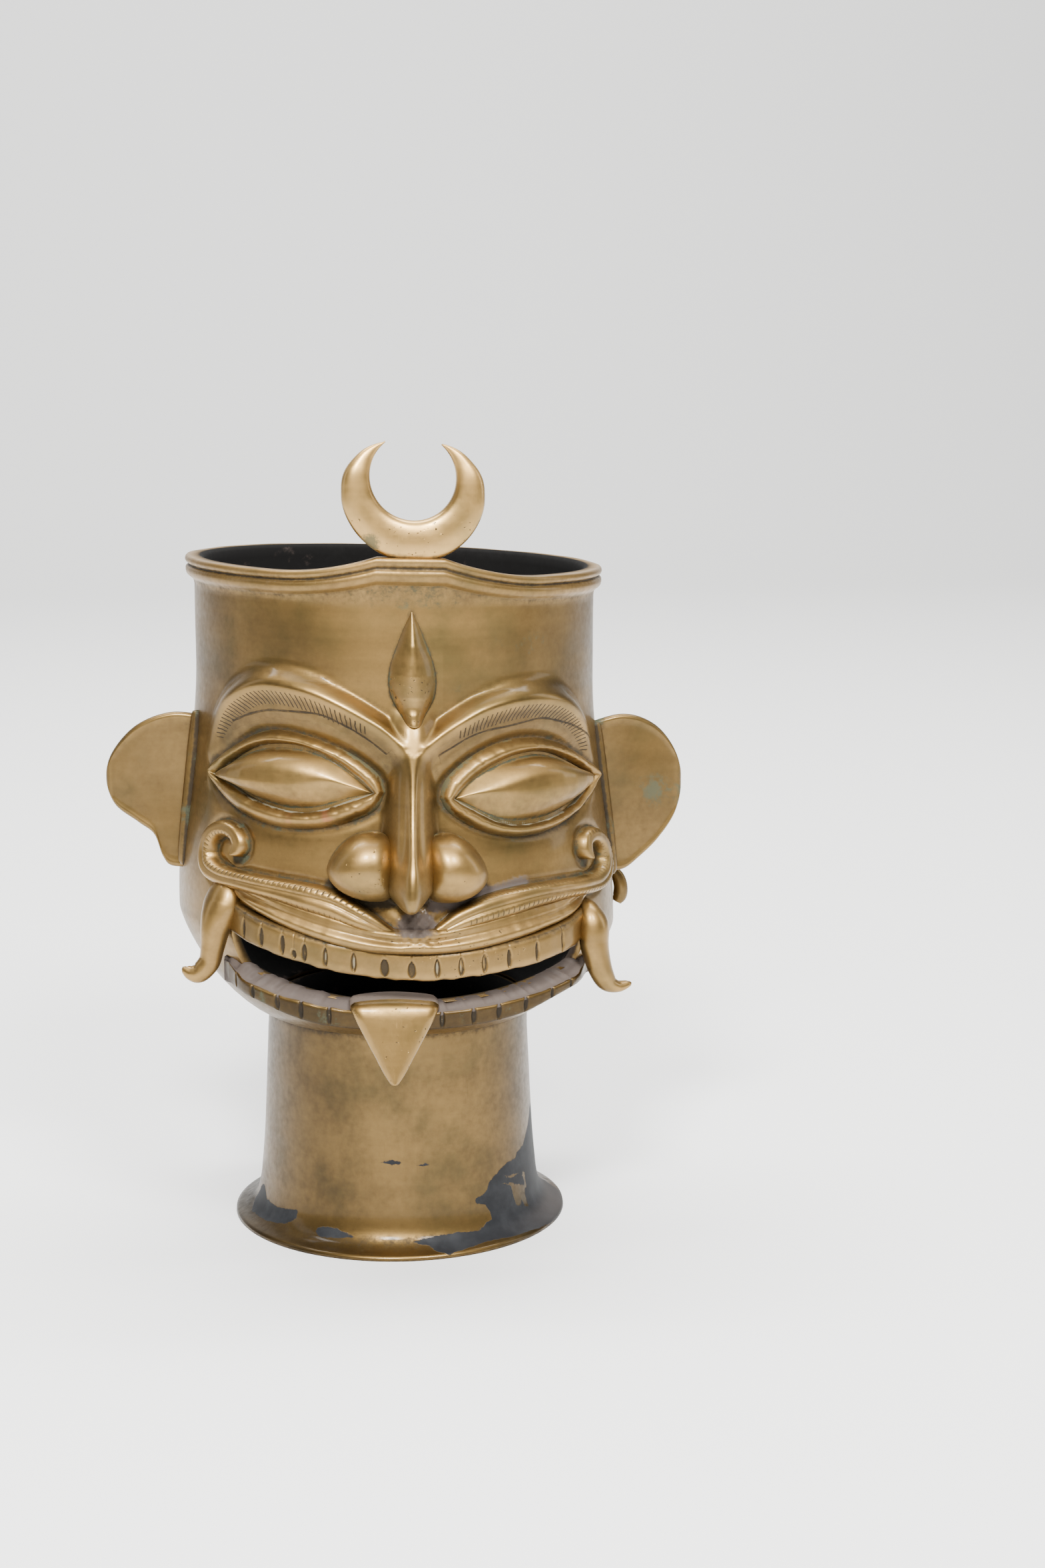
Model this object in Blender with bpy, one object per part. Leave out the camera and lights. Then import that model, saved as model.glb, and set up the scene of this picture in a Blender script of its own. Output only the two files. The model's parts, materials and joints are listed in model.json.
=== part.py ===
"""Brass mukhalinga mask: a hollow cast head with a moon on its brow, that stands on a flanged neck.

The mask is one casting, so it is one object. The head is modelled upright and even-handed round the
neck's axis, with X to the viewer's right, -Y to the front and +Z up. The casting's slight roll is put on
the finished mesh, which is then moved so that the origin lies below the middle of its box.
"""

import math

import bmesh
import bpy
from mathutils import Vector

# Neck and flange. The underside of the flange is at height 0.
FLANGE_RADIUS = 0.0600
FLANGE_EDGE = 0.0016
FLANGE_ROOT_HEIGHT = 0.0085
NECK_FOOT_RADIUS = 0.0508
NECK_TOP_RADIUS = 0.0468
NECK_TOP_HEIGHT = 0.0764
NECK_WALL = 0.0034

# Head, as half widths at heights. Its plan is an oval, a little shallower than wide.
JAW_START_RADIUS = 0.0470
JAW_HALF_WIDTH = 0.0778
JAW_WIDEST_HEIGHT = 0.1116
JAW_ROUNDNESS = 1.38
FOREHEAD_HALF_WIDTH = 0.0700
TEMPLE_HEIGHT = 0.2000
RIM_UNDERSIDE_HEIGHT = 0.2275
RIM_TOP_HEIGHT = 0.2362
RIM_PROJECTION = 0.0027
FRONT_DEPTH_SHARE = 0.94
BACK_DEPTH_SHARE = 0.90
HEAD_WALL = 0.0040
FLOOR_WALL = 0.0045

# The rim climbs at the front to a seat for the moon.
SEAT_HEIGHT = 0.2424
SEAT_HALF_WIDTH = 0.0110
SEAT_WEB_HALF_WIDTH = 0.0460
SEAT_DEPTH = 0.0120

# Moon: an outer disc, two tighter horn arcs and an inner disc, in the plane of its face.
MOON_OFFSET = 0.0011
MOON_CENTRE_HEIGHT = 0.2646
MOON_RADIUS = 0.0238
MOON_HOLLOW_RADIUS = 0.0140
MOON_HOLLOW_RISE = 0.0038
MOON_HORN_RADIUS = 0.0165
MOON_HORN_OFFSET = 0.0069
MOON_HORN_DROP = 0.0016
MOON_THICKNESS = 0.0076
MOON_LEFT_TIP_ANGLE = 121.0
MOON_RIGHT_TIP_ANGLE = 57.0
MOON_SETBACK = 0.0012

# Relief of the face, in angles round the neck's axis (degrees) and heights.
SOCKET_ANGLE = 36.0
SOCKET_HEIGHT = 0.1680
SOCKET_HALF_ANGLE = 33.0
SOCKET_HALF_HEIGHT = 0.0260
SOCKET_DEPTH = 0.0022
MUZZLE_HEIGHT = 0.1120
MUZZLE_HALF_ANGLE = 62.0
MUZZLE_HALF_HEIGHT = 0.0270
MUZZLE_SWELL = 0.0052

BROW_INNER_ANGLE = 2.5
BROW_OUTER_ANGLE = 64.0
BROW_CROWN_HEIGHT = 0.1974
BROW_INNER_DROP = 0.0154
BROW_OUTER_DROP = 0.0274
BROW_CROWN_SHARE = 0.50
BROW_HALF_WIDTH = 0.0044
BROW_STAND = 0.0050

EYE_INNER_ANGLE = 11.4
EYE_OUTER_ANGLE = 58.6
EYE_CORNER_HEIGHT = 0.1654
EYE_UPPER_RISE = 0.0126
EYE_LOWER_DROP = 0.0098
EYE_STAND = 0.0074
LID_MIDDLE_ANGLE = 35.2
LID_HALF_ANGLE = 26.8
LID_RISE = 0.0154
LID_DROP = 0.0134
LID_HALF_WIDTH = 0.0022
LID_STAND = 0.0030

THIRD_EYE_TOP = 0.2250
THIRD_EYE_BOTTOM = 0.1874
THIRD_EYE_HALF_WIDTH = 0.0084
THIRD_EYE_STAND = 0.0058

NOSE_TOP_HEIGHT = 0.1850
NOSE_TIP_HEIGHT = 0.1345
NOSE_BOTTOM_HEIGHT = 0.1290
NOSE_BRIDGE_STAND = 0.0062
NOSE_TIP_STAND = 0.0230
NOSE_BRIDGE_HALF_WIDTH = 0.0044
NOSE_TIP_HALF_WIDTH = 0.0071
NOSE_FORK_SPREAD = 0.0024
NOSE_LEAN = -0.0022
NOSTRIL_OFFSET = 0.0096
NOSTRIL_HEIGHT = 0.1456
NOSTRIL_STAND = 0.0035
NOSTRIL_HALF_WIDTH = 0.0152
NOSTRIL_HALF_HEIGHT = 0.0118
NOSTRIL_HALF_DEPTH = 0.0130

MOUSTACHE_STAND = 0.0046
MOUSTACHE_INNER_ANGLE = 3.6
MOUSTACHE_INNER_HEIGHT = 0.1198
MOUSTACHE_LEFT_ANGLE = 53.0
MOUSTACHE_RIGHT_ANGLE = 58.5
MOUSTACHE_OUTER_HEIGHT = 0.1306
MOUSTACHE_HALF_WIDTH = 0.0054
CURL_RADIUS = 0.0094
CURL_END_RADIUS = 0.0064
CURL_HEIGHT_SHARE = 0.86
CURL_HALF_WIDTH = 0.0034

# Mouth. Its two edges are curves that rise from the middle to the corners.
MOUTH_HALF_ANGLE = 49.0
MOUTH_UPPER_HEIGHT = 0.1044
MOUTH_UPPER_RISE = 0.0092
MOUTH_UPPER_POWER = 1.6
MOUTH_LOWER_HEIGHT = 0.0968
MOUTH_LOWER_RISE = 0.0084
MOUTH_LOWER_POWER = 2.2
GUM_HEIGHT = 0.0088
GUM_STAND = 0.0034
LIP_HALF_HEIGHT = 0.0042
LIP_STAND = 0.0046
JAW_BAND_HEIGHT = 0.0070
JAW_BAND_STAND = 0.0062
JAW_LEDGE_RISE = 0.0007
TOOTH_OVERHANG = 0.0005
TOOTH_GAP_WIDTH = 0.0011
TOOTH_GAP_DEPTH = 0.0018
UPPER_TEETH = 15
LOWER_TEETH = 17

TUSK_ANGLE = 52.5
TUSK_TOP_HEIGHT = 0.1262
TUSK_LENGTH = 0.0270
TUSK_ROOT_RADIUS = 0.0078
TUSK_TIP_RADIUS = 0.0017
TUSK_STAND = 0.0052
TUSK_HOOK = 0.0098

TONGUE_OFFSET = -0.0072
TONGUE_HALF_WIDTH = 0.0142
TONGUE_LENGTH = 0.0262
TONGUE_KICK = 0.0062
TONGUE_THICKNESS = 0.0030

# Ears: flat leaves, whose outlines differ from side to side, and a folded strip along each root.
EAR_SETBACK = 0.0100
EAR_SPAN = 0.1018
EAR_THICKNESS = 0.0028
EAR_ROOT = 0.0680
EAR_MIDDLE_HEIGHT = 0.1556
EAR_HALF_LENGTH = 0.0295
EAR_FOLD_ANGLE = 79.0
EAR_FOLD_RADIUS = 0.0026

# The casting's roll: the head's left, as seen, stands higher. It fades out down the neck.
FACE_ROLL = 0.050
RIM_ROLL = 0.035
ROLL_FADE = 0.0380

# How finely the mesh follows its curves.
FACE_COLUMNS = 32
BACK_COLUMNS = 14
FACE_ROWS = 9
SINK = 0.0022
SHORTEST_EDGE = 0.0004
BRASS_COLOUR = (0.52, 0.38, 0.19, 1.0)
BRASS_ROUGHNESS = 0.42


def ease(value):
    """0 to 1 with level ends, for a value that goes from 0 to 1."""
    value = min(max(value, 0.0), 1.0)
    return value * value * (3.0 - 2.0 * value)


def between(low, high, share):
    return low + (high - low) * share


def bump(value):
    """A smooth hill: 1 at 0, and 0 from 1 on either side."""
    return (1.0 - min(abs(value), 1.0) ** 2) ** 2


def jaw_half_width(height):
    """The bowl from the neck up to the widest place, as a quarter of a superellipse."""
    fall = (JAW_WIDEST_HEIGHT - height) / (JAW_WIDEST_HEIGHT - NECK_TOP_HEIGHT)
    rise = max(1.0 - min(fall, 1.0) ** JAW_ROUNDNESS, 0.0) ** (1.0 / JAW_ROUNDNESS)
    return between(JAW_START_RADIUS, JAW_HALF_WIDTH, rise)


def half_width(height):
    if height < JAW_WIDEST_HEIGHT:
        return jaw_half_width(height)
    climb = (height - JAW_WIDEST_HEIGHT) / (TEMPLE_HEIGHT - JAW_WIDEST_HEIGHT)
    return between(JAW_HALF_WIDTH, FOREHEAD_HALF_WIDTH, ease(climb))


def depth_share(angle, height):
    """The head's depth over its width. The neck is round, and the head grows oval over the jaw."""
    share = FRONT_DEPTH_SHARE if math.cos(angle) > 0.0 else BACK_DEPTH_SHARE
    climb = (height - NECK_TOP_HEIGHT) / (JAW_WIDEST_HEIGHT - NECK_TOP_HEIGHT)
    return between(1.0, share, ease(climb))


def swelling(angle, height):
    """How far the shell itself is modelled out over the mouth and in round the eyes."""
    turn = abs(math.degrees(angle))
    socket = bump((turn - SOCKET_ANGLE) / SOCKET_HALF_ANGLE)
    socket *= bump((height - SOCKET_HEIGHT) / SOCKET_HALF_HEIGHT)
    muzzle = bump(turn / MUZZLE_HALF_ANGLE)
    muzzle *= bump((height - MUZZLE_HEIGHT) / MUZZLE_HALF_HEIGHT)
    return MUZZLE_SWELL * muzzle - SOCKET_DEPTH * socket


def plan_point(angle, radius, share, height):
    return Vector((radius * math.sin(angle), -radius * share * math.cos(angle), height))


def skin(angle, height):
    """A point of the head's outer skin."""
    radius = half_width(height) + swelling(angle, height)
    return plan_point(angle, radius, depth_share(angle, height), height)


def skin_normal(angle, height):
    nudge = 0.0005
    across = skin(angle + nudge, height) - skin(angle - nudge, height)
    upward = skin(angle, height + nudge) - skin(angle, height - nudge)
    return across.cross(upward).normalized()


def mesh_object(name, points, faces):
    mesh = bpy.data.meshes.new(name)
    mesh.from_pydata(points, [], faces)
    shape = bpy.data.objects.new(name, mesh)
    bpy.context.scene.collection.objects.link(shape)
    turn_outwards(mesh)
    return shape


def turn_outwards(mesh):
    work = bmesh.new()
    work.from_mesh(mesh)
    bmesh.ops.recalc_face_normals(work, faces=work.faces)
    work.to_mesh(mesh)
    work.free()


def loft(name, rings, closed=False):
    """A solid through equal rings of points, capped at both ends unless the rings close on themselves."""
    size = len(rings[0])
    points = [point for ring in rings for point in ring]
    faces = []
    last = len(rings) if closed else len(rings) - 1
    for row in range(last):
        here = row * size
        there = ((row + 1) % len(rings)) * size
        for column in range(size):
            beside = (column + 1) % size
            faces.append((here + column, here + beside, there + beside, there + column))
    if not closed:
        faces.append(tuple(range(size)))
        faces.append(tuple(range(len(points) - size, len(points))))
    return mesh_object(name, points, faces)


def smooth_line(stations, share):
    """A Catmull-Rom curve through stations, which may be tuples of any length, at a share of its way."""
    place = share * (len(stations) - 1)
    first = min(int(place), len(stations) - 2)
    t = place - first
    before = stations[max(first - 1, 0)]
    after = stations[min(first + 2, len(stations) - 1)]
    values = []
    for a, b, c, d in zip(before, stations[first], stations[first + 1], after):
        square = 2 * a - 5 * b + 4 * c - d
        cube = 3 * b - a - 3 * c + d
        values.append(0.5 * (2 * b + (c - a) * t + square * t * t + cube * t ** 3))
    return values


def raised_strip(name, path, steps, flank_points=5, crest_power=1.0, closed=False):
    """A bead that lies on the skin. path(share) gives angle, height, half width and stand."""
    rings = []
    nudge = 0.004
    for step in range(steps if closed else steps + 1):
        share = step / steps
        angle, height, half, stand = path(share)
        if closed:
            start, end = path((share - nudge) % 1.0), path((share + nudge) % 1.0)
        else:
            start, end = path(max(share - nudge, 0.0)), path(min(share + nudge, 1.0))
        along = (skin(end[0], end[1]) - skin(start[0], start[1])).normalized()
        normal = skin_normal(angle, height)
        across = normal.cross(along).normalized()
        root = skin(angle, height)
        ring = [root - across * half - normal * SINK]
        for index in range(flank_points + 1):
            turn = math.pi * index / flank_points
            lift = max(math.sin(turn), 0.0) ** crest_power
            ring.append(root - across * half * math.cos(turn) + normal * stand * lift)
        ring.append(root + across * half - normal * SINK)
        rings.append(ring)
    return loft(name, rings, closed)


def shell_angles():
    """Angles round the head, 0 at the front, closer together over the face."""
    face = [math.pi * (column / FACE_COLUMNS - 0.5) for column in range(FACE_COLUMNS + 1)]
    back = [math.pi * (0.5 + column / BACK_COLUMNS) for column in range(1, BACK_COLUMNS)]
    return face + back


def rim_climb(angle):
    """How far the rim rises at the front, as a share: level at the moon's seat, falling to each side."""
    if math.cos(angle) <= 0.0:
        return 0.0
    side = abs(FOREHEAD_HALF_WIDTH * math.sin(angle))
    fall = (side - SEAT_HALF_WIDTH) / (SEAT_WEB_HALF_WIDTH - SEAT_HALF_WIDTH)
    return (1.0 - min(max(fall, 0.0), 1.0)) ** 2.0


def outer_rings(angles):
    """Rings of the outside, from the flange's underside up to the lip."""
    rings = []
    foot = ((FLANGE_RADIUS, 0.0), (FLANGE_RADIUS, FLANGE_EDGE),
            (between(NECK_FOOT_RADIUS, FLANGE_RADIUS, 0.45), 0.0032),
            (between(NECK_FOOT_RADIUS, FLANGE_RADIUS, 0.12), 0.0056),
            (NECK_FOOT_RADIUS, FLANGE_ROOT_HEIGHT),
            (between(NECK_FOOT_RADIUS, NECK_TOP_RADIUS, 0.62), NECK_TOP_HEIGHT * 0.52),
            (NECK_TOP_RADIUS, NECK_TOP_HEIGHT - 0.0030))
    for radius, height in foot:
        rings.append([plan_point(angle, radius, 1.0, height) for angle in angles])
    for share in (0.0, 0.06, 0.17, 0.33, 0.52, 0.75):
        height = between(NECK_TOP_HEIGHT, JAW_WIDEST_HEIGHT, share)
        rings.append([skin(angle, height) for angle in angles])
    for row in range(FACE_ROWS):
        height = between(JAW_WIDEST_HEIGHT, RIM_UNDERSIDE_HEIGHT, row / FACE_ROWS)
        rings.append([skin(angle, height) for angle in angles])
    band = RIM_TOP_HEIGHT - RIM_UNDERSIDE_HEIGHT
    moulding = ((0.0, 0.0), (0.25, 0.75), (0.55, 1.0), (0.66, 0.62), (0.80, 1.0), (1.0, 0.85))
    for climb, out in moulding:
        ring = []
        for angle in angles:
            radius = FOREHEAD_HALF_WIDTH + RIM_PROJECTION * out
            lift = (SEAT_HEIGHT - RIM_TOP_HEIGHT) * rim_climb(angle)
            height = RIM_UNDERSIDE_HEIGHT + band * climb + lift
            ring.append(plan_point(angle, radius, depth_share(angle, height), height))
        rings.append(ring)
    return rings


def inner_rings(angles):
    """Rings of the inside, from the lip down to the mouth of the neck's bore. The wall is even."""
    rings = []
    lip = []
    for angle in angles:
        height = RIM_TOP_HEIGHT + (SEAT_HEIGHT - RIM_TOP_HEIGHT) * rim_climb(angle)
        lip.append(plan_point(angle, FOREHEAD_HALF_WIDTH - HEAD_WALL, depth_share(angle, height), height))
    rings.append(lip)
    floor_height = NECK_TOP_HEIGHT + FLOOR_WALL
    for height in (RIM_UNDERSIDE_HEIGHT - 0.004, 0.1950, 0.1680, 0.1420, 0.1195,
                   0.0920, 0.0850, floor_height + 0.0015):
        ring = []
        for angle in angles:
            radius = half_width(height) + swelling(angle, height) - HEAD_WALL
            ring.append(plan_point(angle, radius, depth_share(angle, height), height))
        rings.append(ring)
    bore_top = NECK_TOP_RADIUS - NECK_WALL
    bore_foot = NECK_FOOT_RADIUS - NECK_WALL
    for radius, height in ((bore_top, floor_height - 0.0010), (bore_top, NECK_TOP_HEIGHT - 0.0060),
                           (between(bore_foot, bore_top, 0.62), NECK_TOP_HEIGHT * 0.52), (bore_foot, 0.0)):
        rings.append([plan_point(angle, radius, 1.0, height) for angle in angles])
    return rings


def shell():
    """The hollow head, neck and flange: outside, lip and inside as one closed skin."""
    angles = shell_angles()
    return loft("mask", outer_rings(angles) + inner_rings(angles), closed=True)


def brow(side):
    def path(share):
        angle = between(BROW_INNER_ANGLE, BROW_OUTER_ANGLE, share)
        if share < BROW_CROWN_SHARE:
            climb = math.sin(0.5 * math.pi * share / BROW_CROWN_SHARE)
            height = BROW_CROWN_HEIGHT - BROW_INNER_DROP * (1.0 - climb)
        else:
            fall = (share - BROW_CROWN_SHARE) / (1.0 - BROW_CROWN_SHARE)
            height = BROW_CROWN_HEIGHT - BROW_OUTER_DROP * fall ** 2.2
        taper = between(1.0, 0.45, ease((share - 0.6) / 0.4))
        return side * math.radians(angle), height, BROW_HALF_WIDTH * taper, BROW_STAND * taper

    return raised_strip("brow", path, 14, 3)


def eye_arcs(share):
    """Angle and the two edges of the eyeball's outline, from its inner corner to its outer one."""
    angle = between(EYE_INNER_ANGLE, EYE_OUTER_ANGLE, share)
    upper = EYE_CORNER_HEIGHT + EYE_UPPER_RISE * math.sin(math.pi * share ** 1.12) ** 0.85
    lower = EYE_CORNER_HEIGHT - EYE_LOWER_DROP * math.sin(math.pi * share ** 0.85) ** 0.85
    return angle, upper, lower


def eyeball(side):
    def path(share):
        angle, upper, lower = eye_arcs(between(0.01, 0.99, share))
        body = math.sin(math.pi * between(0.04, 0.96, share))
        return side * math.radians(angle), (upper + lower) / 2, (upper - lower) / 2, EYE_STAND * body ** 0.7

    return raised_strip("eyeball", path, 11, 4)


def lid(side):
    """The bead that runs all the way round an eyeball, pointed to its outer corner."""
    def path(share):
        turn = 2.0 * math.pi * share
        angle = LID_MIDDLE_ANGLE - LID_HALF_ANGLE * math.cos(turn)
        lift = abs(math.sin(turn)) ** 1.1
        away = LID_RISE if turn < math.pi else -LID_DROP
        pinch = between(1.0, 0.90, ease((1.0 - math.cos(turn)) / 2))
        return side * math.radians(angle), EYE_CORNER_HEIGHT + away * lift * pinch, LID_HALF_WIDTH, LID_STAND

    return raised_strip("lid", path, 26, 2, closed=True)


def third_eye():
    def path(share):
        height = between(THIRD_EYE_TOP, THIRD_EYE_BOTTOM, share)
        half = THIRD_EYE_HALF_WIDTH * math.sin(math.pi * between(0.02, 0.93, share ** 0.92)) ** 0.9
        return 0.0, height, half, THIRD_EYE_STAND * math.sin(math.pi * between(0.04, 0.92, share))

    return raised_strip("third_eye", path, 10, 6, 1.3)


def nose_ridge():
    """The narrow column of the nose: level rings with a rib in front and spreading flanks behind."""
    rings = []
    steps = 9
    for step in range(steps + 1):
        share = step / steps
        height = between(NOSE_TOP_HEIGHT, NOSE_BOTTOM_HEIGHT, share)
        fall = min((NOSE_TOP_HEIGHT - height) / (NOSE_TOP_HEIGHT - NOSE_TIP_HEIGHT), 1.0)
        stand = between(NOSE_BRIDGE_STAND, NOSE_TIP_STAND, fall ** 1.35)
        half = between(NOSE_BRIDGE_HALF_WIDTH, NOSE_TIP_HALF_WIDTH, ease(share))
        half += NOSE_FORK_SPREAD * ease(1.0 - share * 4.0)
        if step == steps:
            stand *= 0.75
            half *= 0.6
        face = -skin(0.0, height).y
        section = ((-1.7, 0.0), (-1.05, 0.35), (-0.85, 0.80), (-0.33, 0.97), (0.0, 1.0),
                   (0.33, 0.97), (0.85, 0.80), (1.05, 0.35), (1.7, 0.0))
        ring = []
        for x, out in section:
            ring.append(Vector((half * x + NOSE_LEAN * share, -face - between(-SINK, stand, out), height)))
        rings.append(ring)
    return loft("nose_ridge", rings)


def nostril(side):
    """One of the two lobes beside the column, drawn up towards the eye on its inner side."""
    bpy.ops.mesh.primitive_uv_sphere_add(segments=12, ring_count=7, radius=1.0)
    lobe = bpy.context.active_object
    lobe.name = "nostril"
    middle = skin(0.0, NOSTRIL_HEIGHT) - Vector((0.0, NOSTRIL_STAND, 0.0))
    middle.x = side * NOSTRIL_OFFSET + NOSE_LEAN * 0.8
    for vertex in lobe.data.vertices:
        x, y, z = vertex.co
        outward = max(x * side, 0.0)
        z -= 0.24 * outward ** 2
        vertex.co = middle + Vector((NOSTRIL_HALF_WIDTH * x, NOSTRIL_HALF_DEPTH * y, NOSTRIL_HALF_HEIGHT * z))
    return lobe


def moustache_path(side):
    """A swelling stroke from the lip's middle out to the cheek, then a curl up and back in."""
    widest = math.radians(MOUSTACHE_LEFT_ANGLE if side < 0 else MOUSTACHE_RIGHT_ANGLE)
    stroke_share = 0.62

    def path(share):
        if share < stroke_share:
            run = share / stroke_share
            angle = between(math.radians(MOUSTACHE_INNER_ANGLE), widest, run)
            climb = math.sin(0.5 * math.pi * run) ** 0.9
            height = between(MOUSTACHE_INNER_HEIGHT, MOUSTACHE_OUTER_HEIGHT, climb)
            body = between(0.42, 1.0, math.sin(math.pi * min(run * 2.6, 1.0) * 0.5))
            half = MOUSTACHE_HALF_WIDTH * between(body, 0.70, ease((run - 0.45) / 0.55))
            return side * angle, height, half, MOUSTACHE_STAND * between(0.7, 1.0, ease(run * 4.0))
        turn = (share - stroke_share) / (1.0 - stroke_share)
        radius = between(CURL_RADIUS, CURL_END_RADIUS, turn ** 2)
        swing = math.radians(between(-90.0, 192.0, turn))
        angle = widest + radius * math.cos(swing) / JAW_HALF_WIDTH
        height = MOUSTACHE_OUTER_HEIGHT + CURL_HEIGHT_SHARE * (CURL_RADIUS + radius * math.sin(swing))
        half = between(MOUSTACHE_HALF_WIDTH * 0.70, CURL_HALF_WIDTH, ease(turn * 2.0))
        half *= between(1.0, 0.55, ease((turn - 0.85) / 0.15))
        return side * angle, height, half, MOUSTACHE_STAND

    return path


def moustache(side):
    return raised_strip("moustache", moustache_path(side), 24, 3)


def mouth_upper(angle):
    turn = min(abs(math.degrees(angle)) / MOUTH_HALF_ANGLE, 1.1)
    return MOUTH_UPPER_HEIGHT + MOUTH_UPPER_RISE * turn ** MOUTH_UPPER_POWER


def mouth_lower(angle):
    turn = min(abs(math.degrees(angle)) / MOUTH_HALF_ANGLE, 1.1)
    return MOUTH_LOWER_HEIGHT + MOUTH_LOWER_RISE * turn ** MOUTH_LOWER_POWER


def tooth_stations(count):
    """Angles along a row of teeth, each with a depth share: 1 in the gaps and 0 on the teeth's shoulders."""
    span = math.radians(MOUTH_HALF_ANGLE + 2.0)
    pitch = 2.0 * span / count
    shoulder = TOOTH_GAP_WIDTH / JAW_HALF_WIDTH
    stations = []
    for tooth in range(count):
        start = pitch * tooth - span
        stations += [(start, 1.0), (start + shoulder, 0.0), (start + pitch - shoulder, 0.0)]
    return stations + [(span, 1.0)]


def plain_stations(steps):
    span = math.radians(MOUTH_HALF_ANGLE + 2.0)
    return [(between(-span, span, step / steps), 0.0) for step in range(steps + 1)]


def mouth_band(name, section, edge, stations):
    """A band along one edge of the mouth. section(angle, gap) gives heights over the edge and stands."""
    rings = []
    for angle, gap in stations:
        ring = []
        for over, stand in section(angle, gap):
            height = edge(angle) + over
            normal = skin_normal(angle, height)
            normal.z = 0.0
            point = skin(angle, height) + normal.normalized() * stand
            ring.append(Vector((point.x, point.y, height)))
        rings.append(ring)
    return loft(name, rings)


def corner_fade(angle, least, reach):
    """A share that falls towards the mouth's corners."""
    return between(least, 1.0, ease((MOUTH_HALF_ANGLE + 2.0 - abs(math.degrees(angle))) / reach))


def upper_teeth():
    def section(angle, gap):
        stand = GUM_STAND * corner_fade(angle, 0.45, 14.0)
        front = stand - TOOTH_GAP_DEPTH * gap
        return ((-TOOTH_OVERHANG, -SINK), (-TOOTH_OVERHANG, front * 0.80), (0.0016, front),
                (GUM_HEIGHT * 0.78, front), (GUM_HEIGHT, stand), (GUM_HEIGHT + 0.0020, -SINK))

    return mouth_band("upper_teeth", section, mouth_upper, tooth_stations(UPPER_TEETH))


def upper_lip():
    def section(angle, gap):
        stand = LIP_STAND * corner_fade(angle, 0.45, 14.0)
        low = GUM_HEIGHT - 0.0004
        return ((low, -SINK), (low, stand * 0.72), (low + LIP_HALF_HEIGHT * 0.6, stand),
                (low + LIP_HALF_HEIGHT * 1.4, stand * 0.92), (low + LIP_HALF_HEIGHT * 2.0, stand * 0.25),
                (low + LIP_HALF_HEIGHT * 2.0, -SINK))

    return mouth_band("upper_lip", section, mouth_upper, plain_stations(22))


def lower_jaw_band():
    def section(angle, gap):
        stand = JAW_BAND_STAND * corner_fade(angle, 0.30, 16.0)
        front = stand - TOOTH_GAP_DEPTH * gap
        foot = -JAW_BAND_HEIGHT
        return ((JAW_LEDGE_RISE, -SINK), (JAW_LEDGE_RISE, front * 0.85), (-0.0012, front),
                (foot + 0.0014, front * 1.05), (foot - 0.0016, stand * 0.60), (foot - 0.0050, -SINK))

    return mouth_band("jaw_band", section, mouth_lower, tooth_stations(LOWER_TEETH))


def mouth_cutter():
    """The opening's smile, as a wedge from inside the head out through the lips."""
    rings = []
    steps = 26
    for step in range(steps + 1):
        angle = math.radians(between(-MOUTH_HALF_ANGLE, MOUTH_HALF_ANGLE, step / steps))
        taper = ease((MOUTH_HALF_ANGLE - abs(math.degrees(angle))) / 5.0)
        middle = (mouth_upper(angle) + mouth_lower(angle)) / 2
        half = (mouth_upper(angle) - mouth_lower(angle)) / 2 * between(0.35, 1.0, taper)
        inside = skin(angle, middle) * 0.80
        outside = skin(angle, middle) * 1.25
        low, high = middle - half, middle + half
        rings.append([Vector((inside.x, inside.y, low)), Vector((outside.x, outside.y, low)),
                      Vector((outside.x, outside.y, high)), Vector((inside.x, inside.y, high))])
    return loft("mouth_cutter", rings)


def round_rod(name, stations, steps, sides):
    """A bent rod of changing girth. Stations hold x, y, z, half width and half thickness."""
    rings = []
    for step in range(steps + 1):
        share = step / steps
        x, y, z, wide, thick = smooth_line(stations, share)
        start = Vector(smooth_line(stations, max(share - 0.01, 0.0))[:3])
        end = Vector(smooth_line(stations, min(share + 0.01, 1.0))[:3])
        along = (end - start).normalized()
        outward = Vector((x, y, 0.0)).normalized()
        across = along.cross(outward).normalized()
        outward = across.cross(along).normalized()
        ring = []
        for side in range(sides):
            turn = 2.0 * math.pi * side / sides
            out = across * wide * math.cos(turn) + outward * thick * math.sin(turn)
            ring.append(Vector((x, y, z)) + out)
        rings.append(ring)
    return loft(name, rings)


def tusk(side):
    """A tusk hangs from the mouth's corner and turns outwards at its tip."""
    angle = math.radians(TUSK_ANGLE)
    root = skin(angle, TUSK_TOP_HEIGHT)
    outward = skin_normal(angle, TUSK_TOP_HEIGHT)
    outward.z = 0.0
    outward.normalize()
    stations = []
    for drop, stand, hook, wide, thick in (
            (-0.06, -0.0010, 0.00, TUSK_ROOT_RADIUS * 0.60, 0.0030),
            (0.16, 0.0014, 0.00, TUSK_ROOT_RADIUS, 0.0056),
            (0.46, TUSK_STAND, 0.00, TUSK_ROOT_RADIUS * 0.66, 0.0050),
            (0.74, TUSK_STAND * 1.25, 0.02, TUSK_ROOT_RADIUS * 0.50, 0.0040),
            (0.99, TUSK_STAND * 1.30, 0.40, TUSK_ROOT_RADIUS * 0.38, 0.0032),
            (0.97, TUSK_STAND * 1.10, 1.00, TUSK_TIP_RADIUS, TUSK_TIP_RADIUS)):
        place = root + outward * stand
        stations.append((side * (place.x + TUSK_HOOK * hook), place.y, TUSK_TOP_HEIGHT - TUSK_LENGTH * drop,
                         wide, thick))
    return round_rod("tusk", stations, 10, 8)


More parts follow.
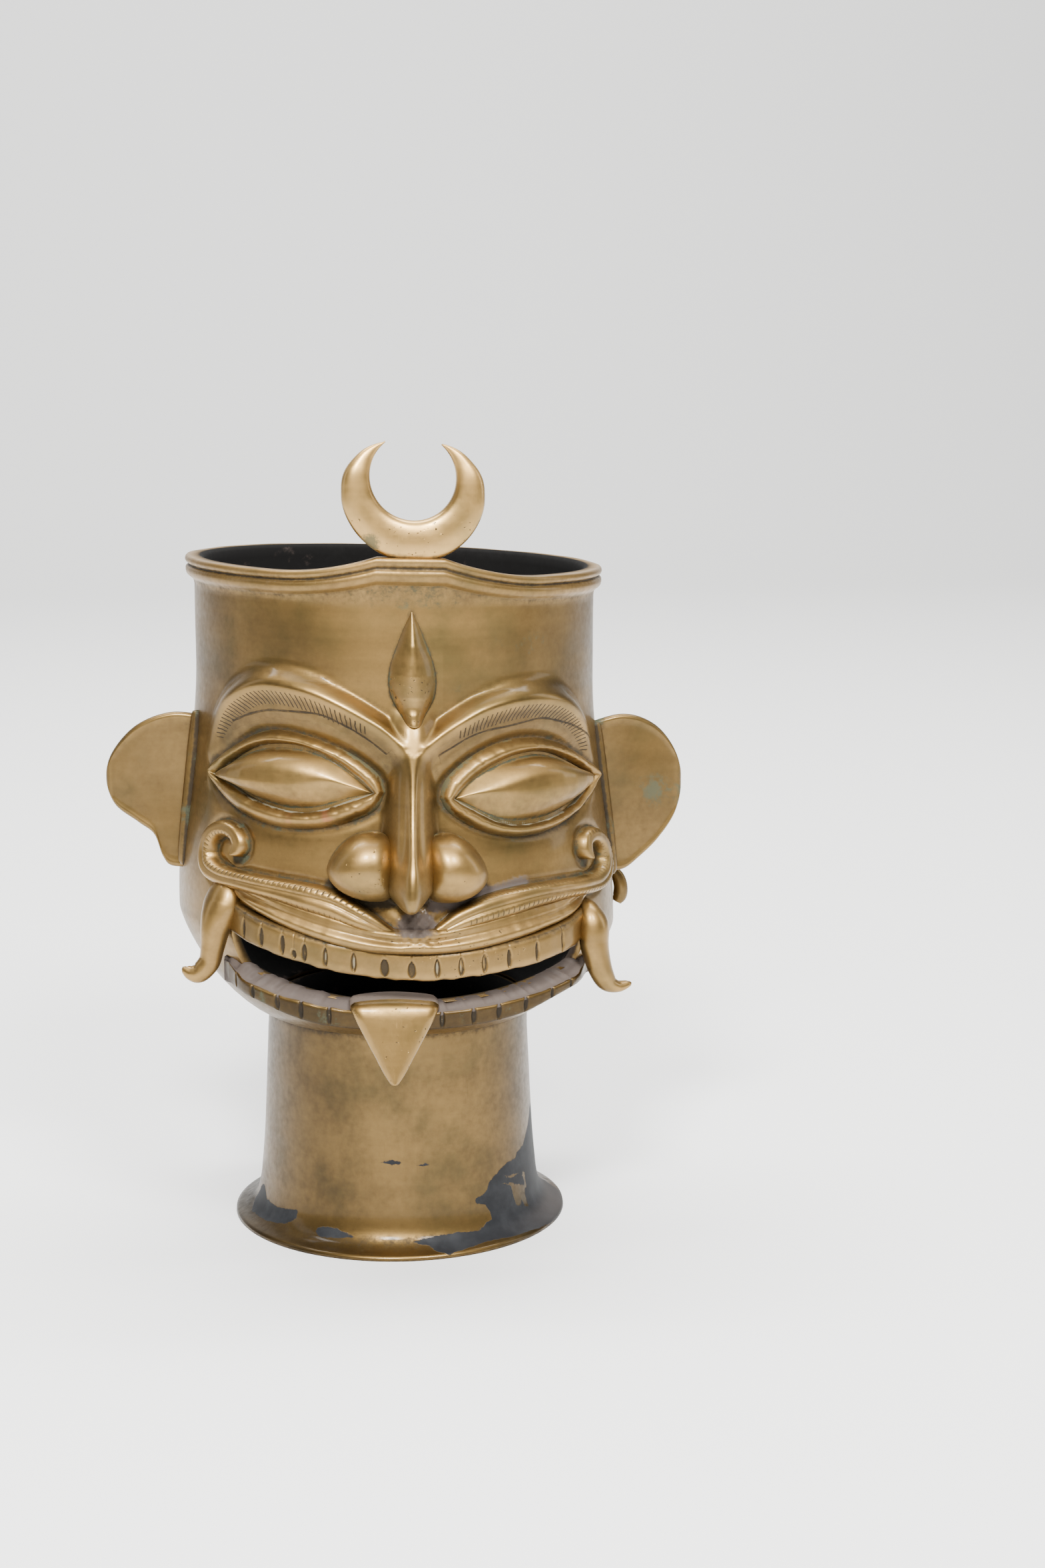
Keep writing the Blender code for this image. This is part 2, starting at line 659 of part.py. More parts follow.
def tongue():
    """A pointed leaf that comes over the lower lip and hangs down in front of it."""
    ledge = MOUTH_LOWER_HEIGHT + JAW_LEDGE_RISE
    lip_front = -skin(0.0, ledge).y + JAW_BAND_STAND
    rings = []
    steps = 10
    stations = []
    for kick, drop, width in ((-0.0100, 0.02, 1.00), (-0.0030, 0.00, 1.00), (0.0016, 0.14, 0.92),
                              (0.0030, 0.42, 0.69), (0.0046, 0.72, 0.41), (TONGUE_KICK, 0.96, 0.12)):
        stations.append((lip_front + kick, ledge - TONGUE_LENGTH * drop, width))
    for step in range(steps + 1):
        share = step / steps
        reach, height, width = smooth_line(stations, share)
        start = smooth_line(stations, max(share - 0.02, 0.0))
        end = smooth_line(stations, min(share + 0.02, 1.0))
        along = Vector((0.0, -(end[0] - start[0]), end[1] - start[1])).normalized()
        outward = Vector((0.0, along.z, -along.y))
        half = TONGUE_HALF_WIDTH * width
        middle = Vector((TONGUE_OFFSET, -reach, height))
        ring = []
        for x, out in ((-1.0, -0.7), (0.0, -0.5), (1.0, -0.7), (1.0, -0.1), (0.55, 0.55), (0.0, 0.8),
                       (-0.55, 0.55), (-1.0, -0.1)):
            ring.append(middle + Vector((half * x, 0.0, 0.0)) + outward * TONGUE_THICKNESS * out)
        rings.append(ring)
    return loft("tongue", rings)


# Ear outlines: distance out from the root and height from the middle, as shares of an ear's reach and
# half length.
LEFT_EAR = ((0.00, 0.84), (0.36, 0.86), (0.70, 0.68), (0.94, 0.34), (1.00, 0.02), (0.92, -0.28),
            (0.70, -0.48), (0.55, -0.62), (0.47, -0.88), (0.36, -0.99), (0.00, -0.96))
RIGHT_EAR = ((0.00, 0.88), (0.40, 1.00), (0.72, 0.88), (0.93, 0.58), (1.00, 0.22), (0.94, -0.19),
             (0.76, -0.53), (0.56, -0.77), (0.42, -0.90), (0.28, -0.92), (0.00, -0.88))


def ear(side):
    """A flat leaf that stands out from the side of the head, thinner to its edge."""
    stations = LEFT_EAR if side < 0 else RIGHT_EAR
    steps = 20
    outline = [smooth_line(stations, step / steps) for step in range(steps + 1)]
    rings = []
    for inset, depth in ((0.90, -0.5), (1.0, -0.25), (1.0, 0.25), (0.90, 0.5)):
        ring = []
        for reach, climb in outline:
            x = between(EAR_ROOT, EAR_SPAN, reach * inset)
            y = -EAR_SETBACK + EAR_THICKNESS * depth + 0.004 * reach
            ring.append(Vector((side * x, y, EAR_MIDDLE_HEIGHT + EAR_HALF_LENGTH * climb * inset)))
        rings.append(ring)
    return loft("ear", rings)


def ear_fold(side):
    """The rolled strip that stands in front of an ear's root."""
    stations = []
    angle = math.radians(EAR_FOLD_ANGLE)
    for climb in (0.84, 0.45, 0.0, -0.45, -0.90):
        height = EAR_MIDDLE_HEIGHT + EAR_HALF_LENGTH * climb
        point = skin(angle, height)
        stations.append((side * point.x, point.y + 0.0012, height, EAR_FOLD_RADIUS, EAR_FOLD_RADIUS))
    return round_rod("ear_fold", stations, 8, 6)


def circle_distance(direction, offset, rise, radius):
    """How far a circle lies from the moon's centre along a direction."""
    along = direction[0] * offset + direction[1] * rise
    return along + math.sqrt(max(along * along - offset * offset - rise * rise + radius * radius, 0.0))


def moon():
    """The crescent: sections from tip to tip between its outer and inner edges."""
    seat_y = -(FOREHEAD_HALF_WIDTH * FRONT_DEPTH_SHARE) + MOON_SETBACK
    rings = []
    steps = 24
    for step in range(steps + 1):
        share = step / steps
        turn = math.radians(between(MOON_LEFT_TIP_ANGLE, 360.0 + MOON_RIGHT_TIP_ANGLE, share))
        direction = (math.cos(turn), math.sin(turn))
        horn = MOON_HORN_OFFSET if direction[0] > 0 else -MOON_HORN_OFFSET
        outer = MOON_RADIUS
        if direction[1] > -0.1:
            outer = min(outer, circle_distance(direction, horn, -MOON_HORN_DROP, MOON_HORN_RADIUS))
        if direction[1] < 0:
            outer = min(outer, (MOON_CENTRE_HEIGHT - SEAT_HEIGHT + 0.0012) / -direction[1])
        inner = circle_distance(direction, 0.0, MOON_HOLLOW_RISE, MOON_HOLLOW_RADIUS)
        outer = max(outer, inner + 0.0007)
        body = min((outer - inner) / (MOON_RADIUS - MOON_HOLLOW_RADIUS), 1.0)
        half = 0.5 * MOON_THICKNESS * between(0.22, 1.0, ease(body))
        ring = []
        for place, out in ((0.0, -0.25), (0.15, -0.78), (0.5, -1.0), (0.85, -0.78), (1.0, -0.25),
                           (0.9, 0.7), (0.1, 0.7)):
            radius = between(inner, outer, place)
            ring.append(Vector((MOON_OFFSET + direction[0] * radius, seat_y + half * out,
                                MOON_CENTRE_HEIGHT + direction[1] * radius)))
        rings.append(ring)
    return loft("moon", rings)


def moon_seat():
    """The web behind the front of the rim that carries the moon."""
    depth = FOREHEAD_HALF_WIDTH * FRONT_DEPTH_SHARE
    rings = []
    for share in (-1.0, -0.7, -0.38, 0.0, 0.38, 0.7, 1.0):
        x = MOON_OFFSET + share * SEAT_WEB_HALF_WIDTH * 0.92
        reach = 1.0 - abs(share)
        outer = 0.0010 - depth * math.sqrt(1.0 - (x / FOREHEAD_HALF_WIDTH) ** 2)
        inner = outer + between(0.0045, SEAT_DEPTH, ease(reach))
        lift = (SEAT_HEIGHT - RIM_TOP_HEIGHT) * rim_climb(math.asin(x / FOREHEAD_HALF_WIDTH))
        top = RIM_TOP_HEIGHT - 0.0012 + lift
        low = top - between(0.0030, 0.0090, ease(reach))
        rings.append([Vector((x, outer, top)), Vector((x, inner, top)), Vector((x, inner, top - 0.0022)),
                      Vector((x, outer, low))])
    return loft("moon_seat", rings)


def combine(body, shape, operation):
    """Joins a shape to the body, or cuts it out of it, and clears it away."""
    shape.hide_render = True
    shape.display_type = "WIRE"
    change = body.modifiers.new("combine", "BOOLEAN")
    change.operation = operation
    change.object = shape
    change.solver = "EXACT"
    bpy.context.view_layer.update()
    graph = bpy.context.evaluated_depsgraph_get()
    mesh = bpy.data.meshes.new_from_object(body.evaluated_get(graph))
    body.modifiers.clear()
    old = body.data
    body.data = mesh
    bpy.data.meshes.remove(old)
    bpy.data.objects.remove(shape)


def roll_and_place(body):
    """Puts the casting's roll on the mesh and moves the middle of its box onto the origin."""
    for vertex in body.data.vertices:
        height = vertex.co.z
        grip = ease((height - NECK_TOP_HEIGHT) / ROLL_FADE)
        over_temple = (height - TEMPLE_HEIGHT) / (RIM_UNDERSIDE_HEIGHT - TEMPLE_HEIGHT)
        roll = between(FACE_ROLL, RIM_ROLL, ease(over_temple))
        vertex.co.z = height - roll * grip * vertex.co.x
    for axis in (0, 1):
        places = [vertex.co[axis] for vertex in body.data.vertices]
        middle = (min(places) + max(places)) / 2
        for vertex in body.data.vertices:
            vertex.co[axis] -= middle


def stays_sound(edge, kept, lost):
    """Whether merging a vertex into its neighbour keeps the skin closed and turns none of its faces over."""
    around_kept = {other.other_vert(kept) for other in kept.link_edges}
    around_lost = {other.other_vert(lost) for other in lost.link_edges}
    facing = {vertex for face in edge.link_faces for vertex in face.verts} - {kept, lost}
    if len(facing) != 2 or around_kept & around_lost != facing:
        return False
    if not all(other.is_manifold for other in list(kept.link_edges) + list(lost.link_edges)):
        return False
    for face in lost.link_faces:
        if kept in face.verts:
            continue
        places = [kept.co if vertex is lost else vertex.co for vertex in face.verts]
        turned = (places[1] - places[0]).cross(places[2] - places[0])
        if turned.length < 1e-12 or turned.normalized().dot(face.normal) < 0.5:
            return False
    return True


def tidy_mesh(body):
    """Triangulates the mesh, then takes out the flaps and short edges that the joins leave."""
    work = bmesh.new()
    work.from_mesh(body.data)
    bmesh.ops.triangulate(work, faces=work.faces)
    seen = {}
    flaps = []
    for face in work.faces:
        corners = frozenset(face.verts)
        if corners in seen:
            flaps += [face, seen[corners]]
        seen[corners] = face
    bmesh.ops.delete(work, geom=flaps, context="FACES")
    merged = True
    while merged:
        merged = False
        work.normal_update()
        for edge in sorted(work.edges, key=lambda edge: edge.calc_length()):
            if not edge.is_valid or edge.calc_length() > SHORTEST_EDGE:
                continue
            first, second = edge.verts
            for kept, lost in ((first, second), (second, first)):
                if stays_sound(edge, kept, lost):
                    bmesh.ops.weld_verts(work, targetmap={lost: kept})
                    work.normal_update()
                    merged = True
                    break
    work.to_mesh(body.data)
    work.free()


def brass():
    material = bpy.data.materials.new("brass")
    material.use_nodes = True
    shader = material.node_tree.nodes["Principled BSDF"]
    shader.inputs["Base Color"].default_value = BRASS_COLOUR
    shader.inputs["Metallic"].default_value = 1.0
    shader.inputs["Roughness"].default_value = BRASS_ROUGHNESS
    return material


def build_mask():
    body = shell()
    combine(body, mouth_cutter(), "DIFFERENCE")
    relief = [upper_teeth(), upper_lip(), lower_jaw_band(), tongue(), third_eye(), nose_ridge()]
    relief += [moon_seat(), moon()]
    for side in (-1, 1):
        relief += [brow(side), eyeball(side), lid(side), nostril(side), moustache(side), tusk(side)]
        relief += [ear(side), ear_fold(side)]
    for shape in relief:
        combine(body, shape, "UNION")
    tidy_mesh(body)
    roll_and_place(body)
    body.data.materials.clear()
    body.data.materials.append(brass())
    body.data.shade_smooth()
    body.data.set_sharp_from_angle(angle=math.radians(35.0))
    return body


for leftover in list(bpy.data.objects):
    bpy.data.objects.remove(leftover, do_unlink=True)
build_mask()
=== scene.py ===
"""Brass mukhalinga mask, dressed: the casting's fine surface, its patina and a plain studio.

The head is modelled upright round the neck's axis, with angles in degrees (0 at the front, positive to the
viewer's right) and lengths in millimetres. settle() then gives the casting its roll and puts it in place.
"""

import json
import math

import bpy
import numpy as np
from bpy.props import FloatProperty, FloatVectorProperty, PointerProperty
from bpy.types import Operator, Panel, PropertyGroup
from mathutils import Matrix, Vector

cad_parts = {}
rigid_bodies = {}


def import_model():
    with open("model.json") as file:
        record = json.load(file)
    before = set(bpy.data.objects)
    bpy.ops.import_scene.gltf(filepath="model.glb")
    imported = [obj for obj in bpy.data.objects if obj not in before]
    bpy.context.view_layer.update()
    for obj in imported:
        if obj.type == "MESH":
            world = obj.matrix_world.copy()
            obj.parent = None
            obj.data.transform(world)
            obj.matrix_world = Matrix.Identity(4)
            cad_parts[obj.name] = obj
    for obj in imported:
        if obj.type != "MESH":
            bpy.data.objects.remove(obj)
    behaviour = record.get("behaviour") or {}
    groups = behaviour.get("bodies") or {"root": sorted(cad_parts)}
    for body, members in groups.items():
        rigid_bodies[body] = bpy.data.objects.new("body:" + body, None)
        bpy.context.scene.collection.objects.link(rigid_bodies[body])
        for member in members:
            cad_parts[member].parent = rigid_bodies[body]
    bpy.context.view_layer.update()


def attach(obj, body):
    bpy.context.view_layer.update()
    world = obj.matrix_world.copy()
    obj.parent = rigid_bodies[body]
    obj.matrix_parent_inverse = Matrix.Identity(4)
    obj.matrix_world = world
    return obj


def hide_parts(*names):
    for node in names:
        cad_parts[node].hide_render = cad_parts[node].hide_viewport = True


bl_info = {
    "name": "Mukhalinga Mask",
    "version": (1, 0, 0),
    "blender": (4, 5, 0),
    "location": "3D View > Sidebar > Mask",
    "description": "Models a cast brass mask with a moon on its brow, its patina and a plain studio",
    "category": "Add Mesh",
}

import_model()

# One degree round the head is about this many millimetres along its skin.
DEGREE = 1.30

# Plain form of the head, as in the solid.
NECK_TOP = 76.4
JAW_START = 47.0
JAW_HALF = 77.8
JAW_WIDEST = 111.6
JAW_ROUNDNESS = 1.38
FOREHEAD_HALF = 70.0
TEMPLE = 200.0
RIM_UNDERSIDE = 227.5
RIM_TOP = 236.2
SEAT_TOP = 242.4
FRONT_SHARE = 0.94
BACK_SHARE = 0.90
ROLL_FADE = 38.0
MOUTH_END = 50.0
MOUTH_UPPER = 104.4
MOUTH_LOWER = 93.4

# Shape of the mouth's ends, the nose's lean and the places that more than one piece refers to.
MOUTH_CORNER = 49.0
MOUTH_STEPS = 5
NOSE_FRONT = 75.0
NOSE_LEAN = -2.2
NOSE_LEAN_TOP = 185.0
NOSE_LEAN_RUN = 56.0
PHILTRUM = 121.6
BROW_REACH = 15.0
FLOOR_TOP = NECK_TOP + 4.5
FLOOR_HALF = JAW_START - 2.8

# The incised lines' mark is this level plus the distance from the line, so that 0 stays free of them.
INCISION_LEVEL = 10.0

# Millimetres in a metre, and on the neck the millimetres to a degree.
PER_METRE = 1000.0
NECK_DEGREE = 0.86

# Rows of the head's grid: shares of the bowl's height, then heights and how many rows run between them.
BOWL_SHARES = (0.0, 0.02, 0.05, 0.10, 0.17, 0.25)
HEAD_RUNS = ((88.5, MOUTH_LOWER, 13), (MOUTH_LOWER, MOUTH_UPPER, MOUTH_STEPS), (MOUTH_UPPER, 113.2, 12),
             (113.2, 127.0, 20), (127.0, 134.0, 22), (134.0, 150.0, 26), (150.0, 200.0, 76),
             (200.0, RIM_UNDERSIDE, 21))
INNER_ABOVE = (RIM_TOP, RIM_TOP - 1.2, 232.0, 226.0, 214.0, 200.0, 188.0, 176.0, 164.0, 152.0, 141.0, 131.0,
               122.0, 115.0, 109.5)
INNER_BELOW = (91.9, 89.6, 87.2, 85.0, 83.0, 81.8)

# The rim's moulding: climb and how far it stands out, as shares.
RIM_MOULDING = ((0.0, 0.0), (0.07, 0.08), (0.14, 0.30), (0.22, 0.66), (0.30, 0.88), (0.42, 0.98),
                (0.53, 0.97), (0.58, 0.84), (0.62, 0.62), (0.66, 0.56), (0.70, 0.70), (0.76, 0.94),
                (0.84, 1.04), (0.92, 1.0), (0.98, 0.84), (1.0, 0.55))

# Neck and flange from the flange's underside up: radius and height.
NECK_PROFILE = ((60.0, 0.0), (60.0, 0.9), (59.5, 1.5), (58.4, 1.9), (57.0, 2.4), (55.6, 3.1), (54.3, 3.9),
                (53.2, 5.0), (52.2, 6.5), (51.4, 8.5), (50.8, 11.0), (50.3, 14.0), (49.9, 18.0), (49.0, 28.0),
                (48.3, 40.0), (47.6, 55.0), (47.0, 68.0), (46.8, 76.0), (46.6, 79.0))

# The neck's bore from its top down.
NECK_BORE = ((43.4, 79.0), (43.4, 70.0), (45.0, 40.0), (47.2, 9.0), (47.6, 0.0))

# The nose along its middle: height, stand, sag of the tip, half width of the body, how steep its flanks are,
# half width of the rib on it, and the rib's share of the stand.
NOSE = ((124.0, 0.0, 0.0, 2.0, 4.0, 1.4, 0.20), (128.2, 0.0, 0.0, 2.0, 4.0, 1.4, 0.20),
        (128.8, 1.4, 0.0, 2.2, 4.0, 1.4, 0.20), (129.3, 4.6, 0.0, 2.6, 4.0, 1.5, 0.20),
        (129.7, 8.6, 0.3, 2.9, 4.0, 1.6, 0.20), (130.1, 12.4, 0.9, 3.2, 4.0, 1.7, 0.20),
        (130.6, 15.8, 1.5, 3.5, 4.0, 1.8, 0.20), (131.2, 18.3, 1.6, 3.9, 4.0, 1.9, 0.21),
        (132.0, 20.3, 1.4, 4.4, 4.0, 2.1, 0.21), (133.0, 21.7, 1.0, 5.2, 4.0, 2.3, 0.22),
        (134.5, 22.6, 0.5, 6.2, 4.0, 2.5, 0.22), (136.5, 22.8, 0.1, 6.9, 4.0, 2.6, 0.22),
        (139.5, 22.6, 0.0, 7.3, 4.0, 2.6, 0.22), (143.0, 21.6, 0.0, 7.3, 4.0, 2.4, 0.21),
        (147.0, 19.4, 0.0, 7.0, 4.0, 1.9, 0.20), (151.0, 16.9, 0.0, 6.6, 4.2, 1.7, 0.20),
        (157.0, 13.8, 0.0, 6.1, 4.4, 1.7, 0.22), (165.0, 11.2, 0.0, 5.8, 4.4, 1.8, 0.24),
        (172.0, 9.6, 0.0, 5.6, 4.2, 2.0, 0.22), (177.0, 8.5, 0.0, 5.8, 3.8, 2.8, 0.16),
        (181.0, 7.4, 0.0, 6.2, 3.4, 3.8, 0.10), (184.5, 6.3, 0.0, 6.6, 3.2, 4.6, 0.06),
        (187.5, 5.0, 0.0, 6.4, 3.0, 4.6, 0.04), (190.0, 2.9, 0.0, 5.6, 3.0, 4.4, 0.04),
        (193.0, 0.8, 0.0, 5.0, 3.0, 4.4, 0.04), (196.0, 0.0, 0.0, 5.0, 3.0, 4.4, 0.04))

# Crests of the brows from the nose outwards: angle and height.
BROW_LEFT = ((3.0, 181.2), (6.3, 184.7), (10.0, 187.8), (17.4, 192.4), (26.6, 196.4), (36.7, 197.9),
             (43.5, 196.8), (49.6, 193.6), (56.2, 188.0), (61.4, 180.4), (64.2, 171.0))
BROW_RIGHT = ((3.0, 180.8), (7.7, 185.2), (12.3, 188.9), (19.0, 193.0), (27.5, 195.6), (35.8, 196.2),
              (43.5, 195.0), (50.0, 191.8), (55.8, 186.6), (60.4, 179.4), (63.4, 170.0))

# Incised lines under the brows: angle and height.
INCISED_LEFT = ((6.5, 177.5), (10.3, 181.3), (14.9, 184.9), (19.7, 187.6), (24.1, 189.4), (29.6, 189.7),
                (35.0, 189.4), (40.7, 188.9), (46.0, 187.2), (50.5, 185.1), (54.2, 183.0))
INCISED_RIGHT = ((6.2, 177.7), (10.2, 180.5), (15.2, 183.9), (20.8, 186.1), (27.2, 187.3), (33.1, 188.5),
                 (38.5, 189.3), (44.5, 188.0), (50.8, 185.9), (57.2, 182.6), (62.6, 178.8))

# Outlines of the lids, all the way round from the inner corner over the top: angle and height.
LID_LEFT = ((7.0, 165.4), (8.2, 169.8), (11.6, 173.7), (17.2, 177.5), (24.5, 180.4), (32.0, 182.1),
            (39.4, 182.4), (46.0, 180.5), (53.0, 176.3), (59.6, 170.9), (64.6, 165.6), (61.6, 159.6),
            (55.0, 155.0), (47.0, 151.8), (38.0, 150.2), (29.6, 150.5), (21.5, 152.2), (14.4, 155.3),
            (9.2, 159.4))
LID_RIGHT = ((6.9, 163.8), (8.6, 169.6), (13.1, 174.7), (19.2, 179.0), (26.2, 181.8), (33.6, 182.7),
             (41.5, 181.9), (49.3, 179.3), (56.5, 175.2), (62.6, 170.8), (67.0, 166.8), (62.6, 161.2),
             (56.0, 156.4), (49.0, 153.4), (41.5, 151.2), (34.0, 150.0), (27.0, 150.0), (20.0, 151.7),
             (13.6, 155.0), (9.0, 159.2))

# Outlines of the eyeballs, in the same way, and the ridges along their middles.
EYE_LEFT = ((10.4, 164.6), (12.8, 167.3), (15.6, 169.9), (19.6, 173.1), (24.8, 176.0), (30.4, 177.6),
            (36.4, 177.7), (42.4, 176.6), (47.8, 174.3), (53.2, 170.4), (60.6, 163.6), (52.0, 161.2),
            (46.2, 158.8), (40.4, 157.3), (34.1, 156.4), (28.4, 156.7), (23.0, 158.6), (16.4, 162.1))
EYE_RIGHT = ((11.0, 163.5), (14.6, 167.6), (18.6, 171.2), (24.1, 174.4), (30.0, 176.5), (36.8, 177.4),
             (43.1, 176.4), (49.3, 173.8), (55.3, 170.4), (62.0, 166.3), (57.4, 162.4), (52.4, 159.2),
             (46.0, 156.5), (40.0, 154.8), (34.0, 154.1), (28.2, 154.2), (22.8, 155.8), (16.4, 159.9))
RIDGE_LEFT = ((10.4, 164.6), (16.7, 166.6), (22.4, 167.9), (30.9, 167.0), (41.5, 165.8), (51.1, 164.6),
              (60.6, 163.6))
RIDGE_RIGHT = ((11.0, 163.5), (16.3, 165.0), (24.0, 166.1), (31.4, 167.2), (40.0, 168.2), (50.6, 167.4),
               (62.0, 166.3))

# Height of an eyeball from its inner to its outer corner, and of the third eye from its top, as shares.
EYE_BODY = ((0.0, 0.04, 0.10, 0.18, 0.28, 0.40, 0.52, 0.62, 0.72, 0.82, 0.90, 0.96, 1.0),
            (0.03, 0.17, 0.31, 0.45, 0.61, 0.79, 0.93, 1.0, 0.99, 0.88, 0.67, 0.40, 0.12))
THIRD_EYE_BODY = ((0.0, 0.1, 0.3, 0.55, 0.75, 0.9, 1.0), (0.04, 0.34, 0.78, 1.0, 0.95, 0.62, 0.2))

# A lid's roll from its outline to the eye: place across it and height, as shares.
LID_PROFILE = ((0.0, -0.35), (0.05, 0.04), (0.12, 0.30), (0.21, 0.54), (0.31, 0.74), (0.42, 0.88),
               (0.53, 0.94), (0.63, 0.90), (0.71, 0.78), (0.78, 0.63), (0.84, 0.50), (0.89, 0.36),
               (0.94, 0.16), (0.99, -0.15), (1.03, -0.45))

# The moustache from the lip's middle out to the curl's end: angle, height and half width.
MOUSTACHE_LEFT = ((4.2, 118.6, 1.5), (7.5, 120.5, 2.6), (12.5, 123.5, 4.0), (19.5, 127.2, 5.1),
                  (27.0, 128.9, 4.9), (35.0, 129.9, 4.1), (45.0, 130.5, 3.7), (53.0, 130.8, 3.8),
                  (58.3, 132.6, 4.3), (60.3, 136.8, 4.1), (59.6, 141.8, 3.5), (57.0, 145.4, 3.1),
                  (53.2, 146.8, 2.9), (49.6, 145.8, 3.0), (47.6, 143.2, 3.3), (47.9, 140.6, 3.3),
                  (49.0, 138.8, 2.7))
MOUSTACHE_RIGHT = ((3.9, 119.4, 1.5), (7.0, 121.7, 2.7), (11.5, 124.6, 3.9), (17.0, 126.9, 4.6),
                   (23.5, 128.7, 4.7), (31.0, 130.2, 4.2), (40.0, 130.8, 3.7), (50.0, 130.6, 3.5),
                   (57.5, 130.7, 3.7), (62.6, 132.8, 4.2), (64.9, 136.9, 4.1), (64.0, 142.0, 3.4),
                   (60.8, 145.6, 3.0), (56.9, 146.8, 2.9), (53.6, 145.4, 3.1), (52.8, 142.2, 3.4),
                   (54.0, 139.4, 2.8))

# The right tusk's middle line, x, y and z, with its half width and half thickness.
TUSK_RIGHT = ((60.0, -42.5, 124.0, 3.0, 2.4), (62.6, -46.4, 121.2, 5.2, 4.0), (63.5, -49.0, 117.6, 5.9, 5.0),
              (63.5, -50.2, 111.3, 5.4, 4.9), (64.4, -50.8, 105.8, 4.8, 4.5), (65.9, -51.0, 100.3, 4.2, 4.1),
              (68.1, -50.6, 95.9, 3.5, 3.6), (71.6, -50.0, 94.2, 2.5, 2.7), (75.4, -49.4, 95.0, 1.4, 1.5),
              (76.4, -49.1, 95.7, 0.4, 0.5))

# The tongue from inside the mouth to its tip: stand over the ledge's front, fall and width as shares.
# Then its section: place across and height.
TONGUE = ((-13.0, 0.02, 1.0), (-8.0, -0.02, 1.02), (-3.4, 0.0, 1.02), (-0.6, 0.03, 1.0), (0.7, 0.09, 0.95),
          (1.6, 0.20, 0.85), (3.0, 0.45, 0.615), (4.6, 0.74, 0.35), (5.6, 0.92, 0.16), (6.0, 0.985, 0.07))
TONGUE_SECTION = ((-1.0, -0.55), (-0.5, -0.55), (0.0, -0.5), (0.5, -0.55), (1.0, -0.55), (1.035, -0.3),
                  (1.02, 0.0), (0.94, 0.32), (0.80, 0.46), (0.60, 0.56), (0.35, 0.66), (0.10, 0.72),
                  (-0.15, 0.72), (-0.4, 0.66), (-0.62, 0.56), (-0.80, 0.46), (-0.94, 0.32), (-1.02, 0.0),
                  (-1.035, -0.3))

# Half widths of the third eye from its top down, as shares of its height.
THIRD_EYE = ((0.0, 0.3), (0.07, 1.5), (0.14, 2.8), (0.28, 5.0), (0.42, 7.1), (0.53, 8.2), (0.64, 8.4),
             (0.75, 7.7), (0.84, 6.0), (0.92, 3.9), (0.97, 2.7), (1.0, 1.7))

# Notches between the teeth: angle, half width, length as a share of the band, and how pale their filling is.
UPPER_NOTCHES = ((-42.9, 0.8, 0.8, 0.2), (-37.2, 0.8, 0.8, 0.2), (-31.4, 0.8, 0.85, 0.1),
                 (-28.4, 0.9, 0.35, 0.0), (-25.8, 0.8, 0.75, 0.3), (-20.8, 0.7, 0.8, 0.9),
                 (-14.3, 0.8, 0.8, 1.0), (-7.3, 1.2, 0.75, 0.0), (-1.2, 1.1, 0.7, 0.2), (4.6, 0.8, 0.8, 1.0),
                 (10.1, 0.8, 0.8, 0.7), (15.7, 0.8, 0.8, 0.6), (21.9, 0.7, 0.85, 0.1), (29.4, 0.7, 0.85, 0.1),
                 (37.5, 0.5, 0.9, 0.0))
LOWER_NOTCHES = ((-49.0, 0.7, 0.9, 0.2), (-42.1, 0.8, 0.9, 0.2), (-35.3, 0.9, 1.0, 0.4),
                 (-29.0, 0.8, 1.0, 0.2), (-21.8, 0.8, 1.0, 0.5), (6.5, 0.8, 1.0, 0.5),
                 (14.6, 0.9, 1.0, 0.2), (21.2, 0.9, 1.0, 0.2), (28.5, 0.8, 1.0, 0.1),
                 (36.2, 0.7, 1.0, 0.1), (42.2, 0.6, 1.0, 0.1))

# The upper lip's middle line: angle, height and half width.
LIP = ((-53.0, 129.6, 1.6), (-48.5, 128.2, 2.6), (-41.5, 125.9, 3.6), (-32.9, 123.2, 4.2),
       (-25.4, 121.1, 4.6), (-18.5, 119.3, 4.6), (-12.1, 117.9, 4.4), (-7.1, 117.3, 4.1),
       (0.0, 117.2, 3.9), (6.7, 117.8, 4.2), (15.0, 119.5, 4.6), (26.3, 122.1, 4.6), (33.0, 123.5, 4.2),
       (40.2, 124.9, 3.8), (48.5, 127.2, 2.8), (53.0, 128.6, 1.6))

# Sections of the upper teeth and of the lower jaw: height over the mouth's edge, and share of the stand.
UPPER_PROFILE = ((-0.2, -0.9), (-0.5, -0.2), (-0.5, 0.35), (-0.2, 0.74), (0.3, 0.90), (0.8, 0.96),
                 (1.3, 0.99), (1.9, 1.0), (2.5, 1.0), (3.1, 0.99), (3.7, 0.98), (4.3, 0.97), (4.9, 0.96),
                 (5.5, 0.95), (6.1, 0.94), (6.7, 0.93), (7.4, 0.91), (8.2, 0.88), (9.0, 0.7), (10.0, 0.2),
                 (10.0, -0.8), (5.0, -0.8))
LOWER_PROFILE = ((-9.6, -0.9), (-8.4, -0.1), (-7.8, 0.45), (-7.5, 0.80), (-7.0, 0.93), (-6.2, 0.97),
                 (-5.4, 0.99), (-4.6, 1.0), (-3.8, 1.0), (-3.0, 1.01), (-2.3, 1.01), (-1.7, 1.0),
                 (-1.35, 0.97), (-1.2, 0.90), (-1.15, 0.78), (-0.9, 0.60), (-0.4, 0.38), (0.2, 0.12),
                 (0.55, -0.14), (0.4, -0.42), (-0.2, -0.62), (-1.4, -0.70), (-5.0, -0.6))

